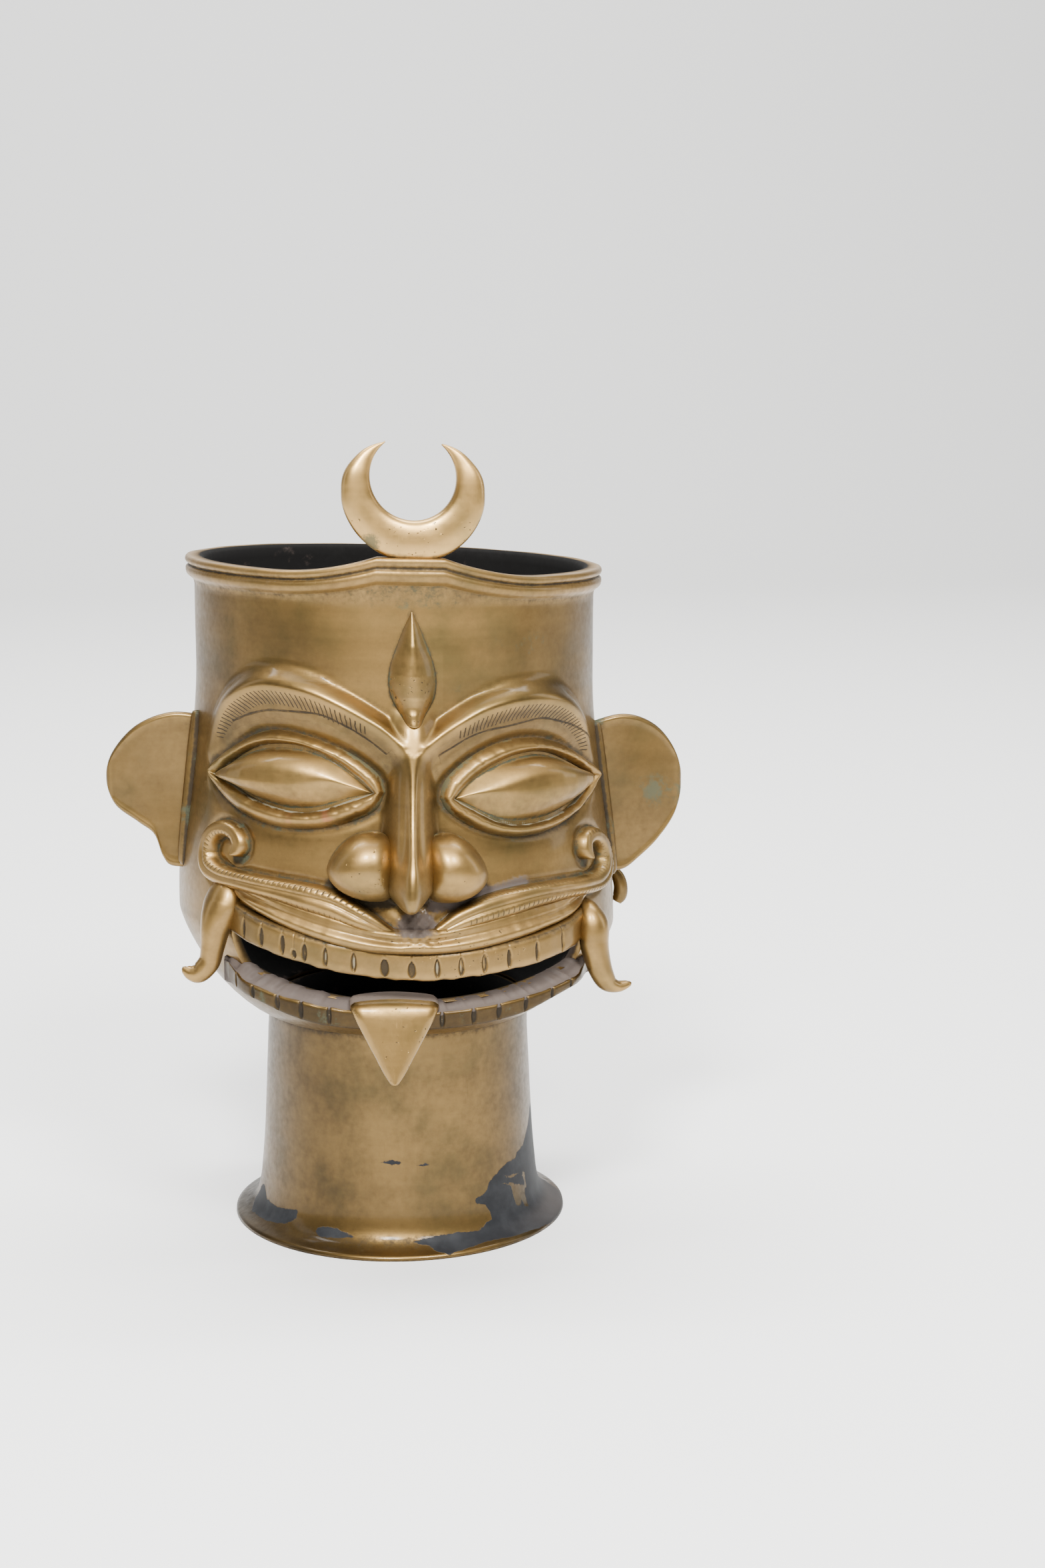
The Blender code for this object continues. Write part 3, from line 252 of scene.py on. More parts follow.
# The left tusk from its root: fall as a share of its drop, stand over the skin, share of its hook, half width
# and half thickness.
TUSK_LEFT = ((-0.10, -2.0, 0.00, 3.6, 2.4), (0.02, 0.4, 0.00, 6.4, 4.2), (0.18, 1.8, 0.00, 7.4, 5.4),
             (0.34, 3.8, 0.00, 6.3, 5.3), (0.50, 5.2, 0.00, 4.9, 4.9), (0.70, 6.344, 0.00, 3.9, 4.1),
             (0.87, 6.656, 0.10, 3.5, 3.6), (0.99, 6.76, 0.42, 3.1, 3.2), (1.00, 6.344, 0.74, 2.4, 2.4),
             (0.96, 5.72, 1.00, 1.4, 1.5), (0.93, 5.408, 1.06, 0.4, 0.5))

# Ear outlines: reach and climb, as shares of an ear's span and half length.
EAR_LEFT = ((0.00, 0.84), (0.36, 0.86), (0.70, 0.68), (0.94, 0.34), (1.00, 0.02), (0.92, -0.28),
            (0.70, -0.48), (0.55, -0.62), (0.47, -0.88), (0.36, -0.99), (0.00, -0.96))
EAR_RIGHT = ((0.00, 0.88), (0.40, 1.00), (0.72, 0.88), (0.93, 0.58), (1.00, 0.22), (0.94, -0.19),
             (0.76, -0.53), (0.56, -0.77), (0.42, -0.90), (0.28, -0.92), (0.00, -0.88))

# The small hook below the right ear: x, y and z, half width and half thickness.
EAR_HOOK = ((79.2, 4.0, 125.6, 1.5, 1.8), (80.9, 4.0, 123.0, 2.0, 2.4), (81.8, 4.0, 119.6, 2.3, 2.6),
            (81.5, 4.0, 116.4, 2.1, 2.6), (80.3, 4.0, 114.0, 1.3, 1.8))

# The moon's section from its inner to its outer edge and back: place across its body and in its thickness.
MOON_SECTION = ((0.0, 0.0), (0.01, -0.35), (0.06, -0.62), (0.15, -0.80), (0.28, -0.92), (0.42, -0.99),
                (0.58, -1.0), (0.72, -0.94), (0.85, -0.80), (0.94, -0.60), (0.99, -0.33), (1.0, 0.0),
                (0.99, 0.35), (0.93, 0.64), (0.80, 0.74), (0.5, 0.76), (0.20, 0.74), (0.07, 0.64),
                (0.01, 0.35))

# Stains and painted shade on the head's skin: mark, strength, angle and height of the middle, and reach
# across and up.
STAINS = (("green", 0.46, 38.0, 214.0, 26.0, 10.0), ("green", 0.44, 12.0, 199.0, 6.0, 7.0),
          ("shade_and_tarnish", 0.9, -38.0, 214.0, 22.0, 22.0), ("shade_and_tarnish", 0.5, -34.0, 188.0, 30.0, 6.0),
          ("shade_and_tarnish", 0.3, 34.0, 188.0, 30.0, 6.0))

# Patches of black residue on the neck: angle and way up the profile from the flange's edge.
RESIDUE = (
    ((70, 40), (60, 33), (54, 32), (52, 30), (47, 30), (41, 28), (35, 25.5), (32, 22), (27, 20.6), (27, 19),
     (32, 17.6), (34, 14), (34, 12), (30, 11), (27, 9.4), (19, 10.2), (9, 10), (0, 8.4), (6, 6.6), (8, 3.5),
     (12, 1.4), (18, 2.8), (27, 4.4), (39, 3.2), (58, 1.0), (84, -2), (100, 6), (96, 22), (84, 38), (76, 45)),
    ((-85, 15), (-80, 17), (-74, 13), (-65, 12.9), (-58, 13.6), (-50, 15.2), (-50, 12.3), (-55, 8.9),
     (-66, 6.8), (-80, 6), (-88, 9)),
    ((-40, 10.5), (-37, 11.6), (-32, 11.9), (-21, 9.9), (-27, 8.9), (-37, 7.8)),
    ((-15, 36.9), (-9, 37.2), (-4, 36.5), (-4, 35.6), (-8, 35.7)),
    ((2, 35.5), (8, 36.0), (7, 34.9), (5, 34.8)),
)
SCRAPES = (
    ((48, 21), (58, 18.5), (57.5, 10.5), (54.5, 11.5), (54, 16), (52.5, 12.5), (49, 13.5)),
    ((42, 26.4), (46, 25.2), (58, 23.5), (58, 22.9), (46, 24.3)),
    ((41, 23.6), (62, 17.9), (62, 17.4), (41, 23.1)),
    ((57, 24.0), (59, 23.6), (60, 17.0), (58.5, 17.5)),
)


# Sizes and colours


def length(name, description, default, **more):
    """A length that can be set, in metres."""
    return FloatProperty(
        name=name, description=description, default=default, unit="LENGTH", precision=5, **more)


def angle(name, description, degrees):
    """An angle that can be set."""
    return FloatProperty(name=name, description=description, default=math.radians(degrees), subtype="ANGLE")


def paint(name, description, red, green, blue):
    """A colour that can be set."""
    return FloatVectorProperty(name=name, description=description, default=(red, green, blue, 1.0),
                               subtype="COLOR", size=4, min=0.0, max=1.0)


class MaskCastingSizes(PropertyGroup):
    axis_back: length("Neck Axis Back", "How far behind the origin the neck's axis stands", 0.01241435)
    face_roll: FloatProperty(name="Face Roll", description="Climb to the left across the face", default=0.050)
    rim_roll: FloatProperty(name="Rim Roll", description="Climb to the left across the rim", default=0.035)
    wall: length("Wall", "Thickness of the casting", 0.0040, min=0.002)
    unevenness: length("Unevenness", "Depth of the casting's gentle lumps", 0.00045, min=0.0)
    rim_projection: length("Rim Projection", "How far the rim stands out", 0.0027)


class MaskFeatureSizes(PropertyGroup):
    brow_stand: length("Brow Stand", "Height of the brows' crests over the skin", 0.0056)
    lid_stand: length("Lid Stand", "Height of the lids over the skin", 0.0028)
    eye_stand: length("Eye Stand", "Height of the eyeballs' ridges over the skin", 0.0078)
    third_eye_top: length("Third Eye Top", "Height of its upper tip", 0.2249)
    third_eye_bottom: length("Third Eye Bottom", "Height of its lower end", 0.1874)
    third_eye_stand: length("Third Eye Stand", "Height of its ridge over the skin", 0.0058)
    moustache_stand: length("Moustache Stand", "Height of the moustache over the lip", 0.0047)
    stroke_pitch: length("Stroke Pitch", "Distance between two chased strokes", 0.0019, min=0.0005)


class MaskMoonSizes(PropertyGroup):
    radius: length("Radius", "Outer radius of the disc", 0.0238)
    hollow: length("Hollow", "Radius of the hollow", 0.0140)
    thickness: length("Thickness", "Thickness of its body", 0.0076)
    left_tip: angle("Left Tip", "Direction of the left horn's tip", 121.0)
    right_tip: angle("Right Tip", "Direction of the right horn's tip", 57.0)


class MaskEarSizes(PropertyGroup):
    span: length("Span", "Reach of an ear from the neck's axis", 0.1017)
    half_length: length("Half Length", "Half the height of an ear", 0.0295)
    middle: length("Middle", "Height of an ear's middle", 0.1556)
    thickness: length("Thickness", "Thickness of a leaf", 0.0026)
    setback: length("Setback", "How far a leaf stands before the neck's axis", 0.0100)


class MaskFinish(PropertyGroup):
    golden: paint("Golden Brass", "Brass where it is handled most", 0.300, 0.186, 0.062)
    brown: paint("Brown Patina", "Brass under its brown patina", 0.150, 0.090, 0.031)
    olive: paint("Olive Patina", "Greenish brown clouds in the patina", 0.110, 0.084, 0.030)
    grime_and_shade: paint("Grime And Shade", "Dark filling of the crevices", 0.010, 0.008, 0.0055)
    # This dark colour also paints shade under the nose's tip and wings, and on the neck under the jaw.
    verdigris: paint("Verdigris", "Grey-green corrosion beside the crevices", 0.048, 0.056, 0.034)
    deposit: paint("Deposit", "Pale rough filling in the deepest lines", 0.17, 0.150, 0.098)
    dust: paint("Dust", "Mauve-grey dust on ledges", 0.085, 0.068, 0.060)
    copper: paint("Copper", "Copper-red metal under worn lids", 0.36, 0.13, 0.065)
    residue: paint("Residue", "Black residue on the neck and the inside", 0.010, 0.0105, 0.012)


class MaskStudio(PropertyGroup):
    camera_place: FloatVectorProperty(
        name="Camera Place", description="Where the camera stands", subtype="TRANSLATION", size=3,
        default=(-0.06904, -0.86487, 0.3146), precision=5)
    camera_pitch: angle("Camera Pitch", "How far the camera looks down", 10.226)
    camera_heading: angle("Camera Heading", "How far the camera is turned to its right", 7.42)
    lens: FloatProperty(name="Lens", description="Focal length", default=57.6, min=10.0)
    floor_colour: paint("Floor", "Colour of the pale floor", 0.80, 0.80, 0.79)
    key_power: FloatProperty(name="Key Light", description="Power of the light over the camera", default=42.0)
    side_power: FloatProperty(name="Side Lights", description="Power of the side softboxes", default=9.0)
    ambient: FloatProperty(name="Ambient", description="Strength of the room's light", default=0.20)


def millimetres(group, *names):
    """Sizes of one of the scene's groups, in millimetres."""
    return [getattr(getattr(bpy.context.scene, group), name) * PER_METRE for name in names]


# Curves and shares


def ease(value):
    value = np.clip(value, 0.0, 1.0)
    return value * value * (3.0 - 2.0 * value)


def between(low, high, share):
    return low + (high - low) * share


def within(value, low, rise, high, fall):
    """1 between two limits, with a soft rise above the low one and a soft fall below the high one."""
    return ease((value - low) / rise) * ease((high - value) / fall)


def hill(value):
    return (1.0 - np.minimum(np.abs(value), 1.0) ** 2) ** 2


def near(distance, reach):
    """1 on a line, and close to 0 from a reach away."""
    return np.exp(-(distance / reach) ** 2)


def oval(degrees, height, middle, level, across, up):
    """A soft oval patch on the skin, 1 in its middle."""
    return near(np.hypot((degrees - middle) / across, (height - level) / up), 1.0)


def travelled(line, metric=(DEGREE, 1.0)):
    """The way along a line up to each of its points."""
    steps = np.linalg.norm(np.diff(line[:, :len(metric)], axis=0) * metric, axis=1)
    return np.concatenate([[0.0], np.cumsum(steps)])


def flowing(stations, count, closed=False, metric=(DEGREE, 1.0)):
    """Rows spaced evenly along a smooth line through stations, whose first columns are its place."""
    stations = np.asarray(stations, float)
    spans = len(stations) if closed else len(stations) - 1
    if closed:
        padded = np.vstack([stations[-1:], stations, stations[:2]])
    else:
        padded = np.vstack([2 * stations[:1] - stations[1:2], stations, 2 * stations[-1:] - stations[-2:-1]])
    place = np.linspace(0.0, spans, spans * 30 + 1)
    first = np.minimum(place.astype(int), spans - 1)
    t = (place - first)[:, None]
    a, b, c, d = (padded[first + step] for step in range(4))
    square = 2 * a - 5 * b + 4 * c - d
    cube = 3 * b - a - 3 * c + d
    line = 0.5 * (2 * b + (c - a) * t + square * t * t + cube * t ** 3)
    way = travelled(line, metric)
    wanted = np.linspace(0.0, way[-1], count + 1 if closed else count)
    rows = np.stack([np.interp(wanted, way, column) for column in line.T], axis=1)
    return rows[:-1] if closed else rows


def read_off(stations, where):
    """Columns of a smooth table at places given in its first column."""
    line = flowing(stations, 400, metric=(1.0, 0.0))
    return [np.interp(where, line[:, 0], column) for column in line.T[1:]]


def mirrored(stations):
    """The same line on the other side of the face."""
    stations = np.array(stations, float)
    stations[:, 0] *= -1.0
    return stations


def nearest(line, degrees, heights, reach, closed=False):
    """Distance to a line on the skin, which side it is on, and the share of the way, within a reach."""
    line = np.asarray(line)[:, :2] * (DEGREE, 1.0)
    if closed:
        line = np.vstack([line, line[:1]])
    places = np.stack([np.ravel(degrees) * DEGREE, np.ravel(heights)], axis=1)
    distance = np.full(len(places), float(reach))
    share = np.zeros(len(places))
    side = np.ones(len(places))
    low, high = line.min(axis=0) - reach, line.max(axis=0) + reach
    inside = np.nonzero(((places > low) & (places < high)).all(axis=1))[0]
    starts, ways = line[:-1], np.diff(line, axis=0)
    lengths = np.maximum((ways ** 2).sum(axis=1), 1e-9)
    for chunk in np.array_split(inside, max(len(inside) // 4000, 1)):
        if not len(chunk):
            continue
        off = places[chunk, None, :] - starts[None]
        t = np.clip((off * ways).sum(axis=2) / lengths, 0.0, 1.0)
        gap = off - ways[None] * t[..., None]
        apart = np.hypot(gap[..., 0], gap[..., 1])
        best = apart.argmin(axis=1)
        rows = np.arange(len(chunk))
        distance[chunk] = np.minimum(apart[rows, best], reach)
        share[chunk] = (best + t[rows, best]) / len(ways)
        turned = ways[best, 0] * off[rows, best, 1] - ways[best, 1] * off[rows, best, 0]
        side[chunk] = np.where(turned < 0.0, -1.0, 1.0)
    shape = np.shape(degrees)
    return distance.reshape(shape), side.reshape(shape), share.reshape(shape)


def inside_outline(outline, x, y):
    """Whether points lie inside a closed outline."""
    outline = np.asarray(outline, float)
    found = np.zeros(np.shape(x), bool)
    for (x0, y0), (x1, y1) in zip(outline, np.roll(outline, -1, axis=0)):
        if y0 == y1:
            continue
        crossing = (y0 > y) != (y1 > y)
        found ^= crossing & (x < x0 + (y - y0) * (x1 - x0) / (y1 - y0))
    return found


# The head's skin


def half_width(height):
    fall = np.clip((JAW_WIDEST - height) / (JAW_WIDEST - NECK_TOP), 0.0, 1.0)
    rise = np.maximum(1.0 - fall ** JAW_ROUNDNESS, 0.0) ** (1.0 / JAW_ROUNDNESS)
    climb = (height - JAW_WIDEST) / (TEMPLE - JAW_WIDEST)
    upper = between(JAW_HALF, FOREHEAD_HALF, ease(climb))
    return np.where(height < JAW_WIDEST, between(JAW_START, JAW_HALF, rise), upper)


def depth_share(degrees, height):
    share = np.where(np.abs(degrees) < 90.0, FRONT_SHARE, BACK_SHARE)
    return between(1.0, share, ease((height - NECK_TOP) / (JAW_WIDEST - NECK_TOP)))


def swelling(degrees, height):
    """The shell's own swell over the mouth and hollows round the eyes."""
    turn = np.abs(degrees)
    socket = hill((turn - 36.0) / 33.0) * hill((height - 168.0) / 26.0)
    muzzle = hill(turn / 62.0) * hill((height - 112.0) / 27.0)
    return 5.2 * muzzle - 2.2 * socket


def plan_point(degrees, radius, share, height):
    turn = np.radians(degrees)
    x, y = radius * np.sin(turn), -radius * share * np.cos(turn)
    return np.stack(np.broadcast_arrays(x, y, height), axis=-1)


def plain_skin(degrees, height):
    radius = half_width(height) + swelling(degrees, height)
    return plan_point(degrees, radius, depth_share(degrees, height), height)


def plain_normal(degrees, height):
    across = plain_skin(degrees + 0.05, height) - plain_skin(degrees - 0.05, height)
    upward = plain_skin(degrees, height + 0.1) - plain_skin(degrees, height - 0.1)
    normal = np.cross(across, upward)
    return normal / np.linalg.norm(normal, axis=-1, keepdims=True)


def level_normal(degrees, height):
    """The skin's normal turned level."""
    normal = plain_normal(degrees, height) * (1.0, 1.0, 0.0)
    return normal / np.linalg.norm(normal, axis=-1, keepdims=True)


def lumps(points):
    """The casting's gentle unevenness at points, from 0 to 1."""
    x, y, z = np.moveaxis(points, -1, 0)
    slow = np.sin(x / 13.1 + 1.3 * np.sin(z / 19.0)) * np.sin(z / 11.7 + y / 23.0 + 0.7)
    quick = np.sin(x / 5.3 + y / 6.1) * np.sin(z / 6.7 - y / 9.0 + 1.9)
    return np.clip(0.5 + 0.36 * slow + 0.14 * quick, 0.0, 1.0)


def brow_lines():
    """Crests of the left and the right brow."""
    return [flowing(stations, 90) for stations in (mirrored(BROW_LEFT), BROW_RIGHT)]


def beside_brow(line, degrees, height):
    """Distance to a brow's crest, whether a place lies above it, and the share of the way outwards."""
    distance, side, share = nearest(line, degrees, height, BROW_REACH)
    return distance, side * line[-1][0] > 0.0, share


def off_lids(degrees, height, reach):
    """Distance to the outline of the nearer lid."""
    return np.minimum(*(nearest(flowing(outline, 110, closed=True), degrees, height, reach, closed=True)[0]
                        for outline in (mirrored(LID_LEFT), LID_RIGHT)))


def off_moustache(degrees, height):
    """Distance to the edge of the nearer half of the moustache, below 0 on it."""
    gaps = []
    for stations in (mirrored(MOUSTACHE_LEFT), MOUSTACHE_RIGHT):
        line = flowing(stations, 90)
        distance, _, share = nearest(line, degrees, height, 10.0)
        gaps.append(distance - np.interp(share * 89.0, np.arange(90), line[:, 2]))
    return np.minimum(*gaps)


def off_nose(degrees, height):
    """How far a place lies to the right of the nose's leaning middle."""
    lean = NOSE_LEAN * np.clip((NOSE_LEAN_TOP - height) / NOSE_LEAN_RUN, 0.0, 1.0)
    return NOSE_FRONT * np.sin(np.radians(degrees)) - lean


def nose_parts(degrees, height):
    """The nose's stand over the skin and its tip's sag."""
    stand, sag, body, steep, rib, rib_share = read_off(NOSE, height)
    stand = stand * (np.abs(degrees) < 60.0)
    off = np.abs(off_nose(degrees, height))
    flank = (1.0 - ease((off - body) / 4.5)) / (1.0 + (off / body) ** steep)
    crest = np.exp(-(off / rib) ** 2.4)
    shape = between(flank, crest, rib_share)
    return stand * shape, sag * shape


def brow_relief(line, degrees, height):
    """A brow's crest over the skin, steep above and long below, with a crease over its inner half."""
    stand, = millimetres("mask_features", "brow_stand")
    distance, above, share = beside_brow(line, degrees, height)
    upper_reach = between(4.8, 8.0, ease(share / 0.55))
    upper = 0.5 * (1.0 + np.cos(np.pi * np.minimum(distance / upper_reach, 1.0)))
    lower = 1.0 - 0.60 * ease(distance / 7.4) - 0.40 * ease((distance - 7.0) / 7.0)
    body = between(1.12, 0.96, ease(share * 3.0)) * between(1.0, 0.42, ease((share - 0.62) / 0.38) ** 1.2)
    crease = 0.55 * near(distance - 4.6, 0.7) * ease((0.52 - share) / 0.2) * ease(share * 12.0)
    return np.where(above, stand * body * upper - crease, stand * body * lower)


def relief(degrees, height):
    """Everything that is modelled in the head's own skin, apart from the nose."""
    total = np.maximum(*(brow_relief(line, degrees, height) for line in brow_lines()))
    total = total - 0.9 * near(off_lids(degrees, height, 6.0), 1.6)
    total = total - 0.5 * near(off_moustache(degrees, height) - 0.6, 1.2)
    lump = oval(degrees, height, 0.4, PHILTRUM, 3.6, 4.2)
    return total + 2.2 * lump * (1.0 + 0.35 * np.sin(degrees * 2.9) * np.sin(height * 1.7))


def face(degrees, height):
    """A point of the finished outer skin."""
    degrees, height = np.broadcast_arrays(np.asarray(degrees, float), np.asarray(height, float))
    stand, sag = nose_parts(degrees, height)
    modelled = relief(degrees, height)
    higher = (np.maximum(modelled, 0.0) ** 4 + stand ** 4) ** 0.25 - stand
    raised = higher + np.minimum(modelled, 0.0) * (1.0 - np.clip(stand / 5.0, 0.0, 1.0))
    points = plain_skin(degrees, height)
    unevenness, = millimetres("mask_casting", "unevenness")
    points = points + plain_normal(degrees, height) * (raised - unevenness * lumps(points))[..., None]
    points = points + level_normal(degrees, height) * stand[..., None]
    points[..., 2] -= sag
    return points


def mouth_upper(degrees):
    turn = np.minimum(np.abs(degrees) / MOUTH_CORNER, 1.1)
    return MOUTH_UPPER + 9.2 * turn ** 1.6


def mouth_lower(degrees):
    turn = np.minimum(np.abs(degrees) / MOUTH_CORNER, 1.1)
    return MOUTH_LOWER + 8.4 * turn ** 2.2 + 0.022 * degrees


# Making pieces


def settle(points):
    """Rolls the casting, puts the neck's axis in its place and turns millimetres into metres."""
    sizes = bpy.context.scene.mask_casting
    height = np.asarray(points, float)[:, 2]
    points = np.array(points, float) / PER_METRE
    grip = ease((height - NECK_TOP) / ROLL_FADE)
    roll = between(sizes.face_roll, sizes.rim_roll, ease((height - TEMPLE) / (RIM_UNDERSIDE - TEMPLE)))
    points[:, 2] -= roll * grip * points[:, 0]
    points[:, 1] += sizes.axis_back
    return points


def deselect():
    for other in bpy.context.view_layer.objects.selected:
        other.select_set(False)


def dress(piece, finish):
    """Gives a finished piece its metal and sets it in the frame."""
    piece.data.materials.clear()
    piece.data.materials.append(finish)
    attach(piece, "root")
    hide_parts("mask")
    return piece


def vertex_places(piece):
    flat = np.empty(len(piece.data.vertices) * 3, np.float32)
    piece.data.vertices.foreach_get("co", flat)
    return flat.reshape(-1, 3).astype(float)


def reshaped(piece, points, finish, marks):
    """Moves a modelled piece's points to their places in the head's frame, and dresses it."""
    piece.data.vertices.foreach_set("co", np.ravel(settle(points)).astype(np.float32))
    piece.data.shade_smooth()
    add_marks(piece.data, marks)
    piece.data.update()
    return dress(piece, finish)


def new_piece(name, points, faces, finish, marks=None):
    """A closed, smooth piece from points in the head's frame, with one attribute for each mark."""
    mesh = bpy.data.meshes.new(name)
    placed = settle(points)
    mesh.from_pydata(placed.tolist(), [], faces)
    mesh.calc_loop_triangles()
    corners = np.empty(len(mesh.loop_triangles) * 3, np.int32)
    mesh.loop_triangles.foreach_get("vertices", corners)
    a, b, c = (placed[corners.reshape(-1, 3)[:, step]] for step in range(3))
    if (a * np.cross(b, c)).sum() < 0.0:
        mesh.flip_normals()
    mesh.shade_smooth()
    add_marks(mesh, marks or {})
    piece = bpy.data.objects.new(name, mesh)
    bpy.context.scene.collection.objects.link(piece)
    return dress(piece, finish)


def add_marks(mesh, marks):
    for label, values in marks.items():
        attribute = mesh.attributes.new(label, "FLOAT", "POINT")
        attribute.data.foreach_set("value", np.ascontiguousarray(np.ravel(values), dtype=np.float32))


def ring_faces(rows, size, closed=False):
    """Quads between rings of equal size, row by row."""
    row = np.arange(rows if closed else rows - 1)[:, None]
    column = np.arange(size)[None, :]
    after, beside = (row + 1) % rows, (column + 1) % size
    quads = np.stack([row * size + column, row * size + beside, after * size + beside,
                      after * size + column], axis=-1)
    return quads.reshape(-1, 4).tolist()


def lofted(name, rings, finish, closed=False, marks=None):
    """A piece through rings of points, its ends closed by fans round their middles."""
    rings = np.asarray(rings, float)
    rows, size = rings.shape[:2]
    points = rings.reshape(-1, 3)
    faces = ring_faces(rows, size, closed)
    marks = {label: np.ravel(np.broadcast_to(value, (rows, size))) for label, value in (marks or {}).items()}
    if not closed:
        points = np.vstack([points, rings[0].mean(axis=0), rings[-1].mean(axis=0)])
        start, end = rows * size, rows * size + 1
        last = (rows - 1) * size
        for column in range(size):
            beside = (column + 1) % size
            faces.append([start, beside, column])
            faces.append([end, last + column, last + beside])
        marks = {label: np.concatenate([value, value[:1], value[-1:]]) for label, value in marks.items()}
    return new_piece(name, points, faces, finish, marks)


def band_on_face(name, line, across, stand, finish, sink=1.6, closed=False, marks=None):
    """A band laid on the face. line holds degrees, height and half width; stand(share, v) is its height."""
    line = np.asarray(line, float)
    flat = line[:, :2] * (DEGREE, 1.0)
    if closed:
        way = np.roll(flat, -1, axis=0) - np.roll(flat, 1, axis=0)
    else:
        way = np.gradient(flat, axis=0)
    way /= np.linalg.norm(way, axis=1, keepdims=True)
    side = np.stack([-way[:, 1], way[:, 0]], axis=1)
    v = np.sin(np.linspace(-0.5, 0.5, across) * np.pi)
    under = np.linspace(0.92, -0.92, 5)
    spread = np.concatenate([v, under])
    share = np.linspace(0.0, 1.0, len(line))[:, None]
    degrees = line[:, 0:1] + side[:, 0:1] * line[:, 2:3] * spread / DEGREE
    height = line[:, 1:2] + side[:, 1:2] * line[:, 2:3] * spread
    lift = np.concatenate([stand(share, v[None, :]), np.full((len(line), 5), -sink)], axis=1)
    points = face(degrees, height) + plain_normal(degrees, height) * lift[..., None]
    given = {}
    for label, rule in (marks or {}).items():
        given[label] = np.broadcast_to(rule(share, spread[None, :]), lift.shape)
    return lofted(name, points, finish, closed, given)


def slow_noise(seed, place):
    """A smooth run of values from 0 to 1 along a line, the same each time."""
    random = np.random.default_rng(seed)
    knots = random.random(400)
    place = np.mod(np.asarray(place, float), 398.0)
    first = place.astype(int)
    return between(knots[first], knots[first + 1], ease(place - first))


def halved(outline, count):
    """The upper and the lower edge of an almond outline, both from its inner corner to its outer one."""
    outline = np.asarray(outline, float)
    far = int(outline[:, 0].argmax())
    upper = flowing(outline[:far + 1], count)
    lower = flowing(np.vstack([outline[far:], outline[:1]]), count)[::-1]
    return upper, lower


def pillow(name, side, outline, ridge, lift, finish, marks):
    """A domed almond between an outline's edges. lift(share, v) is its height, v being 0 on its ridge."""
    upper, lower = halved(outline, 160)
    start, end = upper[0, 0], upper[-1, 0]
    share = 0.5 - 0.5 * np.cos(np.linspace(0.045, 0.985, 120) * np.pi)
    degrees = between(start, end, share)[:, None]
    high = np.interp(degrees, upper[:, 0], upper[:, 1])
    low = np.interp(degrees, lower[:, 0], lower[:, 1])
    line = flowing(ridge, 120)
    crest = (np.interp(degrees, line[:, 0], line[:, 1]) - low) / np.maximum(high - low, 0.05)
    crest = np.clip(crest, 0.2, 0.8)
    way = 0.5 - 0.5 * np.cos(np.linspace(0.0, 1.0, 36) * np.pi)[None, :]
    v = np.where(way > crest, (way - crest) / (1.0 - crest), (way - crest) / crest)
    under = np.tile([0.9, 0.7, 0.5, 0.3, 0.1], (len(degrees), 1))
    across = np.concatenate([np.broadcast_to(way, v.shape), under], axis=1)
    height = low + (high - low) * across
    raised = np.concatenate([lift(share[:, None], v), np.full((len(degrees), 5), -1.6)], axis=1)
    turned = side * degrees
    points = face(turned, height) + plain_normal(turned, height) * raised[..., None]
    edge = np.concatenate([np.abs(v), np.ones((len(degrees), 5))], axis=1)
    given = {label: rule(share[:, None], edge) for label, rule in marks.items()}
    return lofted(name, points, finish, marks=given)


def round_rod(name, stations, rings, sides, finish, marks=None):
    """A bent rod through stations of x, y, z, half width and half thickness."""
    line = flowing(stations, rings, metric=(1.0, 1.0, 1.0))
    place, wide, thick = line[:, :3], line[:, 3], line[:, 4]
    along = np.gradient(place, axis=0)
    along /= np.linalg.norm(along, axis=1, keepdims=True)
    outward = place * (1.0, 1.0, 0.0)
    across = np.cross(along, outward)
    across /= np.linalg.norm(across, axis=1, keepdims=True)
    outward = np.cross(across, along)
    turn = 2.0 * np.pi * np.arange(sides) / sides
    section = (across[:, None] * (wide[:, None] * np.cos(turn))[..., None]
               + outward[:, None] * (thick[:, None] * np.sin(turn))[..., None])
    share = np.linspace(0.0, 1.0, rings)[:, None]
    given = {label: np.broadcast_to(rule(share, turn[None]), (rings, sides)) for label, rule in
             (marks or {}).items()}
    return lofted(name, place[:, None] + section, finish, marks=given)


def mouth_band(name, degrees, edge, section, finish, marks):
    """A band along an edge of the mouth. section(degrees) gives heights over the edge and stands."""
    over, stand = section(degrees[:, None])
    height = edge(degrees)[:, None] + over
    turned = np.broadcast_to(degrees[:, None], height.shape)
    front = plain_skin(turned, edge(turned))
    front[..., 2] = height
    points = front + level_normal(turned, edge(turned)) * stand[..., None]
    given = {label: rule(turned, over, stand) for label, rule in marks.items()}
    return lofted(name, points, finish, marks=given)


def notching(degrees, over, notches, height):
    """Depth, outline and paleness of the lens-shaped notches between teeth, over a band of a given height."""
    depth, dark, pale = (np.zeros(np.broadcast(degrees, over).shape) for _ in range(3))
    for place, half, length, paleness in notches:
        share = over / (length * height)
        lens = np.sqrt(np.clip(np.sin(np.pi * np.clip(share, 0.0, 1.0)), 0.0, 1.0)) * half
        off = np.abs((degrees - place) * DEGREE)
        here = ease((lens - off) / 0.45 + 0.5) * (lens > 0.0)
        core = ease((lens - off - 0.32) / 0.30) * (share > 0.12) * (share < 0.88)
        depth = np.maximum(depth, here)
        dark = np.maximum(dark, here * (1.0 - paleness * core))
        pale = np.maximum(pale, core * paleness)
    return depth, dark, pale


# Metals


